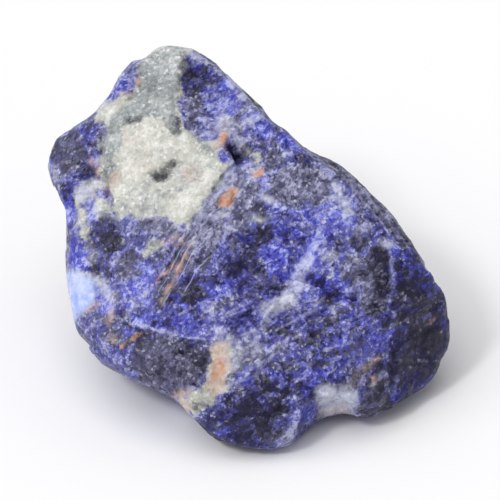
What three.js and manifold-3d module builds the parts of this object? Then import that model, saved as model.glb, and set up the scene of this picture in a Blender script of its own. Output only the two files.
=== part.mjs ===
// A rough lump of sodalite, broken from its vein and lightly worn, resting on one flattened side.
//
// The lump is set out on its face plane, which leans back from the table: "across" runs to the right, "up"
// runs up the plane, and "out" stands square off it. The widest outline there is a closed curve through the
// corners where the rock broke. The sides curve in from that outline, before and behind it; faces are struck
// off flat, flakes are split out of the faces, scoops are chipped from the edges, and the underside is cut
// level.
//
// Millimetres, +Z up. The origin is on the table, under the middle of the lump's box.

import * as THREE from "three";
import { ImprovedNoise } from "three/addons/math/ImprovedNoise.js";
import { mergeVertices } from "three/addons/utils/BufferGeometryUtils.js";
import Module from "manifold-3d";

// Driving dimensions.
const FACE_LEAN = 35; // degrees: how far above the horizon the face plane looks
const HEART_HEIGHT = 16; // of the point that every other place is measured from, above the table
const SIDE_DEPTH_BEFORE = 30; // the sides close in over this depth, before the widest outline
const SIDE_DEPTH_BEHIND = 34; // and behind it
const CLEARANCE = 0.2; // of a face that grazes the outline
const CALM_DEPTH = 11; // the outline's chips die out over this depth, before and behind it
const CALM_REACH = 24; // degrees of the outline, each way, that its calmer form is the mean of
const EDGE_WEAR = 0.9; // the width over which a broken edge is rounded
const MESH_DETAIL = 20; // cuts in each side of the starting icosahedron's faces
const OUTLINE_TENSION = 0.35; // of the curve through the outline's corners
const OUTLINE_STEPS = 12; // of that curve between two corners
const SEARCH_STEP = 0.5; // of the first, coarse search for the surface along a direction
const SEARCH_HALVINGS = 16; // of the fine search after it

// Roughness of the broken skin: the size of its waves and how far they stand out.
const WAVES = [
  { size: 9, height: 0.55 },
  { size: 4.2, height: 0.28 },
];

// The widest outline, anticlockwise from the right: [across, up, height above the table].
const OUTLINE = [
  [25.0, -8.8, 9],
  [24.1, -5.0, 12],
  [21.4, -1.5, 16],
  [17.6, 4.4, 19.5],
  [14.2, 7.7, 21.5],
  [11.0, 10.7, 23.5],
  [7.0, 12.4, 25.5],
  [4.3, 14.9, 27.5],
  [1.7, 16.2, 28.5],
  [-0.2, 18.9, 30],
  [-3.8, 22.7, 32],
  [-7.4, 25.2, 33.5],
  [-11.0, 25.5, 33.5],
  [-14.6, 23.7, 32],
  [-16.8, 20.8, 30.5],
  [-17.1, 19.8, 29.5],
  [-19.6, 16.7, 27.5],
  [-24.2, 14.1, 25],
  [-25.5, 11.9, 23],
  [-24.2, 7.6, 20],
  [-22.4, 4.4, 17],
  [-22.9, 0.6, 14],
  [-22.6, -4.8, 12],
  [-21.7, -10.1, 9],
  [-20.1, -11.6, 8],
  [-18.6, -14.0, 6.5],
  [-14.4, -16.1, 5.5],
  [-9.3, -18.2, 4.5],
  [-7.2, -20.7, 3],
  [-4.4, -23.6, 2],
  [1.4, -24.9, 1.5],
  [5.7, -23.6, 2],
  [8.9, -20.7, 3],
  [11.8, -19.9, 3.5],
  [14.2, -21.0, 2.5],
  [18.6, -19.3, 2.5],
  [22.4, -16.4, 3],
  [24.6, -12.4, 5],
];

// Faces struck off flat. Azimuth is 0 for one that looks forwards and 90 for one that looks right; elevation
// is above the horizon; distance is from the heart of the lump. One without a distance grazes the outline.
const FACES = [
  { azimuth: -14, elevation: 64, distance: 11.0 },
  { azimuth: -40, elevation: 44, distance: 13.0 },
  { azimuth: -75, elevation: 42, distance: 22.6 },
  { azimuth: -62, elevation: 20, distance: 21.4 },
  { azimuth: 0, elevation: 36, distance: 12.5 },
  { azimuth: 6, elevation: 14, distance: 18.6 },
  { azimuth: 42, elevation: 20, distance: 17.3 },
  { azimuth: 70, elevation: 50, distance: 14.8 },
  { azimuth: 150, elevation: -30, distance: 19.5 },
  { azimuth: 205, elevation: -36, distance: 19.5 },
  { azimuth: 118, elevation: 30 },
  { azimuth: 88, elevation: 6 },
  { azimuth: 128, elevation: -6 },
  { azimuth: 142, elevation: 52 },
  { azimuth: 168, elevation: 14 },
  { azimuth: 206, elevation: 32 },
  { azimuth: 216, elevation: -8 },
  { azimuth: 246, elevation: 14 },
  { azimuth: 270, elevation: -24 },
  { azimuth: 304, elevation: -20 },
];

// Flakes split out of a face: the rock that is beyond both of a flake's planes is gone.
const FLAKES = [
  [
    { azimuth: 19, elevation: 54, distance: 8.3 },
    { azimuth: 49, elevation: 8, distance: -1.2 },
  ],
  [
    { azimuth: 182, elevation: 6, distance: 16.5 },
    { azimuth: 150, elevation: -58, distance: 1.5 },
  ],
  [
    { azimuth: 228, elevation: 4, distance: 20.5 },
    { azimuth: 185, elevation: -66, distance: 7.5 },
  ],
];

// Scoops chipped out by a blow: [across, up, out] of the middle of the blow, and its radius.
const SCOOPS = [
  { at: [-5.0, 21.5, 4.0], radius: 5.2 },
  { at: [10.3, -22.4, 10.0], radius: 4.4 },
];

const radians = THREE.MathUtils.degToRad;

// The face plane's three directions, in the part's frame.
const ACROSS = new THREE.Vector3(1, 0, 0);
const UP = new THREE.Vector3(0, Math.sin(radians(FACE_LEAN)), Math.cos(radians(FACE_LEAN)));
const OUT = new THREE.Vector3(0, -UP.z, UP.y);

// The unit vector that looks along an azimuth and an elevation.
function looking(azimuth, elevation) {
  const level = Math.cos(radians(elevation));
  return new THREE.Vector3(
    level * Math.sin(radians(azimuth)),
    -level * Math.cos(radians(azimuth)),
    Math.sin(radians(elevation)),
  );
}

// A place on or off the face plane, as a place about the heart.
function fromFace(across, up, out) {
  const place = ACROSS.clone().multiplyScalar(across);
  return place.addScaledVector(UP, up).addScaledVector(OUT, out);
}

// The larger of two distances, blended over a width where they are close, as wear blends two faces.
function wornMax(a, b, width) {
  const share = Math.max(width - Math.abs(a - b), 0) / width;
  return Math.max(a, b) + (share * share * width) / 4;
}

// How far one angle is from another, in radians, the short way round.
function apart(one, other) {
  return Math.abs(Math.atan2(Math.sin(one - other), Math.cos(one - other)));
}

// The outline as a table, by angle about the heart: its place, its depth, its radius and its calmer radius.
function makeOutline() {
  const corners = OUTLINE.map(
    ([across, up, height]) => new THREE.Vector3(across, up, (height - HEART_HEIGHT - up * UP.z) / OUT.z),
  );
  const table = new THREE.CatmullRomCurve3(corners, true, "catmullrom", OUTLINE_TENSION)
    .getPoints(OUTLINE.length * OUTLINE_STEPS)
    .map((p) => ({
      place: fromFace(p.x, p.y, p.z),
      angle: Math.atan2(p.y, p.x),
      radius: Math.hypot(p.x, p.y),
      out: p.z,
    }))
    .sort((a, b) => a.angle - b.angle);
  for (const entry of table) {
    const near = table.filter(({ angle }) => apart(angle, entry.angle) < radians(CALM_REACH));
    entry.calm = near.reduce((sum, { radius }) => sum + radius, 0) / near.length;
  }
  return table;
}

const outline = makeOutline();

// The outline's depth, radius and calmer radius at an angle, from the two nearest entries of the table.
function outlineAt(angle) {
  const next = outline.findIndex((entry) => entry.angle > angle);
  const high = outline[Math.max(next, 0)];
  const low = outline.at(next - 1 < 0 ? -1 : next - 1);
  const span = apart(high.angle, low.angle);
  const share = span > 1e-9 ? Math.min(apart(angle, low.angle) / span, 1) : 0;
  const between = (name) => THREE.MathUtils.lerp(low[name], high[name], share);
  return { out: between("out"), radius: between("radius"), calm: between("calm") };
}

const noise = new ImprovedNoise();

// How far the waves of the broken skin lift the surface at a point.
function roughness(p) {
  return WAVES.reduce((sum, { size, height }) => {
    const lift = noise.noise(p.x / size, p.y / size, p.z / size);
    return sum + height * lift;
  }, 0);
}

// A face or a flake's side as a plane. Without a distance of its own, it is put just clear of the outline.
function planeOf({ azimuth, elevation, distance }) {
  const normal = looking(azimuth, elevation);
  const reach = Math.max(...outline.map(({ place }) => normal.dot(place)));
  return { normal, distance: distance ?? reach + CLEARANCE };
}

const struck = FACES.map(planeOf);
const split = FLAKES.map((sides) => sides.map(planeOf));
const scooped = SCOOPS.map(({ at, radius }) => ({ at: fromFace(...at), radius }));

// About how far a point, measured from the heart, lies outside the lump. It is negative inside.
function outside(p) {
  const across = p.dot(ACROSS);
  const up = p.dot(UP);
  const rim = outlineAt(Math.atan2(up, across));
  const away = p.dot(OUT) - rim.out;
  const closing = away / (away > 0 ? SIDE_DEPTH_BEFORE : SIDE_DEPTH_BEHIND);
  const calmness = THREE.MathUtils.smoothstep(Math.abs(away), 0, CALM_DEPTH);
  const radius = THREE.MathUtils.lerp(rim.radius, rim.calm, calmness);
  let d = Math.hypot(across, up) - radius * (1 - closing * closing);
  const wave = roughness(p);
  const beyond = ({ normal, distance }) => normal.dot(p) - distance + wave;
  for (const face of struck) {
    d = wornMax(d, beyond(face), EDGE_WEAR);
  }
  for (const sides of split) {
    d = wornMax(d, Math.min(...sides.map(beyond)), EDGE_WEAR);
  }
  for (const scoop of scooped) {
    d = wornMax(d, scoop.radius - scoop.at.distanceTo(p), EDGE_WEAR);
  }
  return d;
}

// Where the surface lies along a direction from the heart.
function surfaceAlong(direction) {
  const p = new THREE.Vector3();
  let inner = 0;
  let outer = SEARCH_STEP;
  while (outside(p.copy(direction).multiplyScalar(outer)) < 0) {
    inner = outer;
    outer += SEARCH_STEP;
  }
  for (let i = 0; i < SEARCH_HALVINGS; i++) {
    const middle = (inner + outer) / 2;
    if (outside(p.copy(direction).multiplyScalar(middle)) < 0) {
      inner = middle;
    } else {
      outer = middle;
    }
  }
  return p.copy(direction).multiplyScalar(inner);
}

// The lump before it is cut level: a geodesic ball pushed in or out to the surface.
function makeLump() {
  const ball = new THREE.IcosahedronGeometry(1, MESH_DETAIL);
  ball.deleteAttribute("normal");
  ball.deleteAttribute("uv");
  const lump = mergeVertices(ball, 1e-4);
  const place = lump.getAttribute("position");
  const direction = new THREE.Vector3();
  for (let i = 0; i < place.count; i++) {
    const p = surfaceAlong(direction.fromBufferAttribute(place, i).normalize());
    place.setXYZ(i, p.x, p.y, p.z + HEART_HEIGHT);
  }
  return lump;
}

const wasm = await Module();
wasm.setup();

// A closed, merged geometry as a solid that can be cut.
function solidOf(geometry) {
  return new wasm.Manifold(
    new wasm.Mesh({
      numProp: 3,
      vertProperties: new Float32Array(geometry.getAttribute("position").array),
      triVerts: new Uint32Array(geometry.index.array),
    }),
  );
}

// A solid as a geometry again.
function geometryOf(solid) {
  const mesh = solid.getMesh();
  return new THREE.BufferGeometry()
    .setAttribute("position", new THREE.BufferAttribute(mesh.vertProperties, 3))
    .setIndex(new THREE.BufferAttribute(mesh.triVerts, 1));
}

// The space below the table, which the underside is cut level against.
function belowTable() {
  const size = 200;
  const box = new THREE.BoxGeometry(size, size, size).translate(0, 0, -size / 2);
  box.deleteAttribute("normal");
  box.deleteAttribute("uv");
  return mergeVertices(box);
}

const stone = new THREE.Mesh(
  geometryOf(solidOf(makeLump()).subtract(solidOf(belowTable()))),
  new THREE.MeshStandardMaterial({ color: 0x3f4078, roughness: 0.62, metalness: 0 }),
);
stone.name = "sodalite_stone";
stone.geometry.computeBoundingBox();
const box = stone.geometry.boundingBox;
stone.geometry.translate(-(box.min.x + box.max.x) / 2, -(box.min.y + box.max.y) / 2, 0);
stone.geometry.computeVertexNormals();

const part = new THREE.Group();
part.add(stone);
export default part;
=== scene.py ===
"""A rough lump of sodalite, lying on a pale table in soft studio light.

The lump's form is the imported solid. Its broken skin is made here: the solid is copied, remeshed fine, split
along its ledges, chipped, pitted and roughened, and what each mineral covers is stored on the mesh for the
finish to read. Places on the lump are in millimetres on its face plane, measured from its heart.
"""

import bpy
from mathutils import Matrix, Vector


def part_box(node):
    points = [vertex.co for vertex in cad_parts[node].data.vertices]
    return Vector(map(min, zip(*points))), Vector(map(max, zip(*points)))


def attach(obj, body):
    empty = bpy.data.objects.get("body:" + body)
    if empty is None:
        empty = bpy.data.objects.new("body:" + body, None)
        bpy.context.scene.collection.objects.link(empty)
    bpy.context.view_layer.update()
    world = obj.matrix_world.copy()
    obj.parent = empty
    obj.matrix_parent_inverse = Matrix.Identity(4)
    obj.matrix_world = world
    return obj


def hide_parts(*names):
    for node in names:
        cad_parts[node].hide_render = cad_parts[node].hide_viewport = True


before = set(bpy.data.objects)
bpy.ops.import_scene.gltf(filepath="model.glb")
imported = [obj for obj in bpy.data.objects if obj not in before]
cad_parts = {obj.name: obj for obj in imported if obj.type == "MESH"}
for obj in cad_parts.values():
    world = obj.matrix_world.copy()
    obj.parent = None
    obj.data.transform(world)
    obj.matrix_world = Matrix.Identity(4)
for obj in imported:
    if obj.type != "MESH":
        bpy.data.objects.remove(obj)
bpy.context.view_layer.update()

import itertools
import logging
import math
from collections.abc import Callable
from dataclasses import dataclass, field
from enum import Enum

import bpy
import numpy as np
from mathutils import Vector

log = logging.getLogger("sodalite")

STONE_NODE = "sodalite_stone"
BODY = "root"

MM = 0.001
HEART_FROM_CORNER = (25.35, 22.82, 16.0)  # of the solid's box, in millimetres
ROCK_REACH = (25.0, 22.0, 17.0)  # from the heart, in millimetres
FARTHEST_BACK = -14.0  # how far out from the heart the front's marks start to show, in millimetres
FAR_OUTSIDE = -9.0  # the depth in a mineral of what is nowhere near it, in millimetres
DEEPEST_HELD = 4.0  # the greatest depth that the mesh holds, in millimetres
FADE_ROUND_EDGE = 6.0  # how many millimetres of depth a mark loses where a face turns a right angle away
BURIED_FROM = 0.25  # how squarely a face may look forwards and still show what is buried in the rock
NEAR_SURFACE = (0.82, 1.0)  # where scattered pockets have their middles, as shares of the rock's reach
MIDDLE_DRAW = (0.5, 0.5, 0.5)  # the middle of what a cell's random colour can be

Points = np.ndarray
Socket = bpy.types.NodeSocket
Noise = Callable[[np.ndarray, float], np.ndarray]
Colour = tuple[float, float, float, float]
Spot2 = tuple[float, float]


class Mineral(Enum):
    """What the stone shows at its surface, other than its plain blue and slate ground."""

    CALCITE = "calcite"
    MILK = "milk"
    CHIP = "chip"
    FELDSPAR = "feldspar"
    FLESH = "flesh"
    SLATE = "slate"
    # Dark rock, and also painted shade: in pits, along the crack, in a recess by the top and on the right
    # end, which turns from the light.
    DARK = "dark"
    VIVID = "vivid"
    VEIL = "veil"
    THREAD = "thread"
    SHEETED = "sheeted"


def screen(red: float, green: float, blue: float) -> Colour:
    """Turn a colour as a screen shows it into the linear colour that a shader takes.

    Args:
        red: Red, 0 to 255.
        green: Green, 0 to 255.
        blue: Blue, 0 to 255.

    Returns:
        The colour's linear red, green, blue and alpha.
    """
    linear = [((c / 255 + 0.055) / 1.055) ** 2.4 if c > 10 else c / 255 / 12.92 for c in (red, green, blue)]
    return (linear[0], linear[1], linear[2], 1.0)


@dataclass(frozen=True)
class Side:
    """A way of looking at the stone, with a plane through its heart to lay places out on.

    Attributes:
        azimuth: Degrees round from the front, with 90 at the right.
        elevation: Degrees above the horizon.
    """

    azimuth: float
    elevation: float

    def axes(self) -> Points:
        """Give the plane's directions, as rows: across, up and out."""
        turn = math.radians(self.azimuth)
        rise = math.radians(self.elevation)
        across = (math.cos(turn), math.sin(turn), 0.0)
        out = (math.sin(turn) * math.cos(rise), -math.cos(turn) * math.cos(rise), math.sin(rise))
        up = np.cross(out, across)
        return np.array([across, up, out])


FRONT = Side(0, 35)


class Rumple:
    """Seeded noise through space, to move vertices by and to rag the edges of what is marked on them."""

    CELLS = 256
    STRAY = 0.45  # how far a face's middle strays from its cell's, as a share of the cell
    SWELL = 1.5  # brings the waves up to about 1

    def __init__(self, seed: int) -> None:
        """Draw the tables.

        Args:
            seed: What the random draws start from.
        """
        random = np.random.default_rng(seed)
        self.order = random.permutation(self.CELLS)
        self.jitter = random.uniform(-self.STRAY, self.STRAY, (self.CELLS, 3))
        slopes = random.normal(size=(self.CELLS, 3))
        self.slopes = slopes / np.linalg.norm(slopes, axis=1)[:, None]

    def _pick(self, cell: Points) -> Points:
        """Give each whole-numbered cell its own place in the tables."""
        x, y, z = (cell % self.CELLS).T
        first = self.order[x]
        second = self.order[(first + y) % self.CELLS]
        return self.order[(second + z) % self.CELLS]

    def waves(self, points: Points, size: float) -> Points:
        """Give smooth noise, about -1 to 1.

        Args:
            points: Places, in millimetres.
            size: The size of a wave, in millimetres.

        Returns:
            One value for each place.
        """
        where = points / size
        cell = np.floor(where).astype(int)
        part = where - cell
        ease = part**3 * (part * (part * 6 - 15) + 10)
        total = np.zeros(len(points))
        for corner in itertools.product((0, 1), repeat=3):
            slope = self.slopes[self._pick(cell + corner)]
            weight = np.prod(np.where(corner, ease, 1 - ease), axis=1)
            total += weight * np.sum(slope * (part - corner), axis=1)
        return total * self.SWELL

    def facets(self, points: Points, size: float) -> Points:
        """Give a flat-faced break: every cell of space has a face that tilts its own way.

        Args:
            points: Places, in millimetres.
            size: The size of a face, in millimetres.

        Returns:
            The height of each place, in millimetres, for faces that tilt as steeply as they can.
        """
        where = points / size
        cell = np.floor(where).astype(int)
        nearest = np.full(len(points), np.inf)
        height = np.zeros(len(points))
        for step in itertools.product((-1, 0, 1), repeat=3):
            pick = self._pick(cell + step)
            away = where - (cell + step + 0.5 + self.jitter[pick])
            reach = np.sum(away**2, axis=1)
            tilt = np.sum(away * self.slopes[pick], axis=1)
            height = np.where(reach < nearest, tilt, height)
            nearest = np.minimum(reach, nearest)
        return height * size


def heaped(places: Points, *layers: tuple[Noise, float, float]) -> Points:
    """Add up layers of relief, each a kind of noise with its height and its size in millimetres."""
    return sum(height * noise(places, size) for noise, height, size in layers)


def along_path(where: Points, path: Points) -> tuple[Points, Points, Points]:
    """Measure places against a path.

    Args:
        where: Places across and up a plane.
        path: The path's points on the same plane.

    Returns:
        Each place's distance from the path, how far along the path it is from 0 to 1, and which side it is
        on: 1 to the right of the way the path runs, and -1 to its left.
    """
    lengths = np.linalg.norm(np.diff(path, axis=0), axis=1)
    starts = np.concatenate([[0.0], np.cumsum(lengths)])
    nearest = np.full(len(where), np.inf)
    share = np.zeros(len(where))
    side = np.ones(len(where))
    for start, end, length, before in zip(path, path[1:], lengths, starts):
        way = (end - start) / length
        away = where - start
        reach = np.clip(away @ way, 0, length)
        distance = np.linalg.norm(away - reach[:, None] * way, axis=1)
        closer = distance < nearest
        nearest = np.where(closer, distance, nearest)
        share = np.where(closer, (before + reach) / starts[-1], share)
        side = np.where(closer, np.sign(away[:, 0] * way[1] - away[:, 1] * way[0]), side)
    return nearest, share, side


def round_off(corners: Points, closed: bool) -> Points:
    """Cut the corners of a path twice, so that it runs round them.

    Args:
        corners: The path's points.
        closed: Whether its last point runs on to its first.

    Returns:
        The rounder path's points.
    """
    path = corners
    for _ in range(2):
        after = np.roll(path, -1, axis=0) if closed else path[1:]
        before = path if closed else path[:-1]
        cut = np.stack([before * 0.75 + after * 0.25, before * 0.25 + after * 0.75], axis=1).reshape(-1, 2)
        path = cut if closed else np.concatenate([path[:1], cut, path[-1:]])
    return path


@dataclass(frozen=True)
class Patch:
    """An area of one mineral, by the outline of it.

    Attributes:
        outline: Its corners, across and up the side's plane.
        wrap: How far it runs round an edge: 1 stays on what faces the side squarely, and -1 goes right
            round.
        most: How deep inside it a place can count as, in millimetres. At 0 it is thin and patchy.
    """

    outline: tuple[Spot2, ...]
    wrap: float = 0.1
    most: float = 4.0

    def depth(self, where: Points) -> Points:
        """Give how far inside the patch each place is, in millimetres. It is negative outside."""
        path = round_off(np.array(self.outline), closed=True)
        loop = np.concatenate([path, path[:1]])
        distance, _, _ = along_path(where, loop)
        crossings = np.zeros(len(where), dtype=int)
        for start, end in zip(loop, loop[1:]):
            spans = (start[1] > where[:, 1]) != (end[1] > where[:, 1])
            rise = end[1] - start[1] or 1e-9
            at = start[0] + (where[:, 1] - start[1]) * (end[0] - start[0]) / rise
            crossings += spans & (where[:, 0] < at)
        return np.where(crossings % 2 == 1, distance, -distance)


@dataclass(frozen=True)
class Streak:
    """A line of one mineral, widest at its middle.

    Attributes:
        path: Its points, across and up the side's plane.
        width: Its widest, in millimetres.
        wrap: How far it runs round an edge, as for a patch.
        most: How deep inside it a place can count as, as for a patch.
    """

    path: tuple[Spot2, ...]
    width: float
    wrap: float = 0.1
    most: float = 4.0

    BLUNT = 0.35  # how wide its ends are, as a share of its width

    def depth(self, where: Points) -> Points:
        """Give how far inside the streak each place is, in millimetres. It is negative outside."""
        distance, share, _ = along_path(where, round_off(np.array(self.path), closed=False))
        taper = self.BLUNT + (1 - self.BLUNT) * np.sin(np.pi * share)
        return self.width / 2 * taper - distance


@dataclass(frozen=True)
class Blot:
    """An oval spot of one mineral.

    Attributes:
        at: Its middle, across and up the side's plane.
        size: Its length and its breadth, in millimetres.
        turn: Degrees that its length is turned up from the across direction.
        wrap: How far it runs round an edge, as for a patch.
        most: How deep inside it a place can count as, as for a patch.
    """

    at: Spot2
    size: tuple[float, float]
    turn: float = 0.0
    wrap: float = 0.1
    most: float = 4.0

    def depth(self, where: Points) -> Points:
        """Give about how far inside the spot each place is, in millimetres. It is negative outside."""
        angle = math.radians(self.turn)
        away = where - np.array(self.at)
        long = away @ np.array([math.cos(angle), math.sin(angle)])
        broad = away @ np.array([-math.sin(angle), math.cos(angle)])
        radius = np.hypot(long / (self.size[0] / 2), broad / (self.size[1] / 2))
        return (1 - radius) * min(self.size) / 2


@dataclass(frozen=True)
class Lump:
    """A pocket of one mineral in the rock, as an ellipsoid.

    Attributes:
        at: Its middle, in millimetres right of, behind and above the heart.
        reach: How far it reaches those three ways, in millimetres.
    """

    at: tuple[float, float, float]
    reach: tuple[float, float, float]

    def depth(self, places: Points) -> Points:
        """Give about how far inside the pocket each place is, in millimetres. It is negative outside."""
        away = (places - np.array(self.at)) / np.array(self.reach)
        return (1 - np.linalg.norm(away, axis=1)) * min(self.reach)


def scattered(seed: int, count: int, least: float, most: float) -> tuple[Lump, ...]:
    """Scatter pockets of a mineral near the surface, all round the back of the rock.

    Args:
        seed: What the random draws start from.
        count: How many there are.
        least: The shortest that one reaches, in millimetres.
        most: The longest that one reaches.

    Returns:
        The pockets.
    """
    random = np.random.default_rng(seed)
    lumps = []
    for _ in range(count):
        way = random.normal(size=3) * np.array(ROCK_REACH)
        way[1] = abs(way[1])
        at = way / np.linalg.norm(way / np.array(ROCK_REACH)) * random.uniform(*NEAR_SURFACE)
        lumps.append(Lump(tuple(at), tuple(random.uniform(least, most, 3))))
    return tuple(lumps)


@dataclass(frozen=True)
class Seam:
    """A vein of one mineral that cuts through the rock as a sheet.

    Attributes:
        at: Its middle, in millimetres right of, behind and above the heart.
        facing: The way that the sheet faces.
        width: How thick it is at its middle, in millimetres.
        reach: How far it reaches before it thins out, in millimetres.
    """

    at: tuple[float, float, float]
    facing: Side
    width: float
    reach: float

    def depth(self, places: Points) -> Points:
        """Give about how far inside the vein each place is, in millimetres. It is negative outside."""
        away = places - np.array(self.at)
        thin = np.linalg.norm(away, axis=1) / self.reach
        return self.width / 2 * (1 - thin**2) - np.abs(away @ self.facing.axes()[2])


@dataclass(frozen=True)
class Ledge:
    """A small scarp where a sheet of the rock split off.

    Attributes:
        path: Its edge, with the lower ground to the right of the way it runs.
        height: Its height, in millimetres.
        run: How far the lower ground takes to rise again, in millimetres.
    """

    path: tuple[Spot2, ...]
    height: float
    run: float

    FADE = 6  # how many times shorter than the edge the fade at each end of it is
    LIP = 0.25  # how high the rim on the upper ground stands, as a share of the height
    LIP_REACH = 0.8  # how wide that rim is, in millimetres

    def lift(self, where: Points) -> Points:
        """Give how far the ledge lifts each place, in millimetres."""
        distance, share, side = along_path(where, round_off(np.array(self.path), closed=False))
        ends = np.clip(np.minimum(share, 1 - share) * self.FADE, 0, 1)
        low = -self.height * np.exp(-distance / self.run)
        lip = self.height * self.LIP * np.exp(-((distance / self.LIP_REACH) ** 2))
        within = np.where((share > 0) & (share < 1), ends, 0)
        return np.where(side > 0, low, lip) * within


@dataclass(frozen=True)
class Dent:
    """A pit, or a groove if its path has more than one point.

    Attributes:
        path: Its middle line.
        radius: Half its width, in millimetres.
        depth: Its depth, in millimetres. A negative one is a lump or a ridge.
    """

    path: tuple[Spot2, ...]
    radius: float
    depth: float

    STEEP = 1.4  # how fast it closes in

    def lift(self, where: Points) -> Points:
        """Give how far the dent lifts each place, in millimetres."""
        path = np.array(self.path)
        if len(path) == 1:
            distance = np.linalg.norm(where - path[0], axis=1)
        else:
            distance, _, _ = along_path(where, round_off(path, closed=False))
        return -self.depth * np.exp(-((distance / self.radius) ** 2) * self.STEEP)


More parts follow.
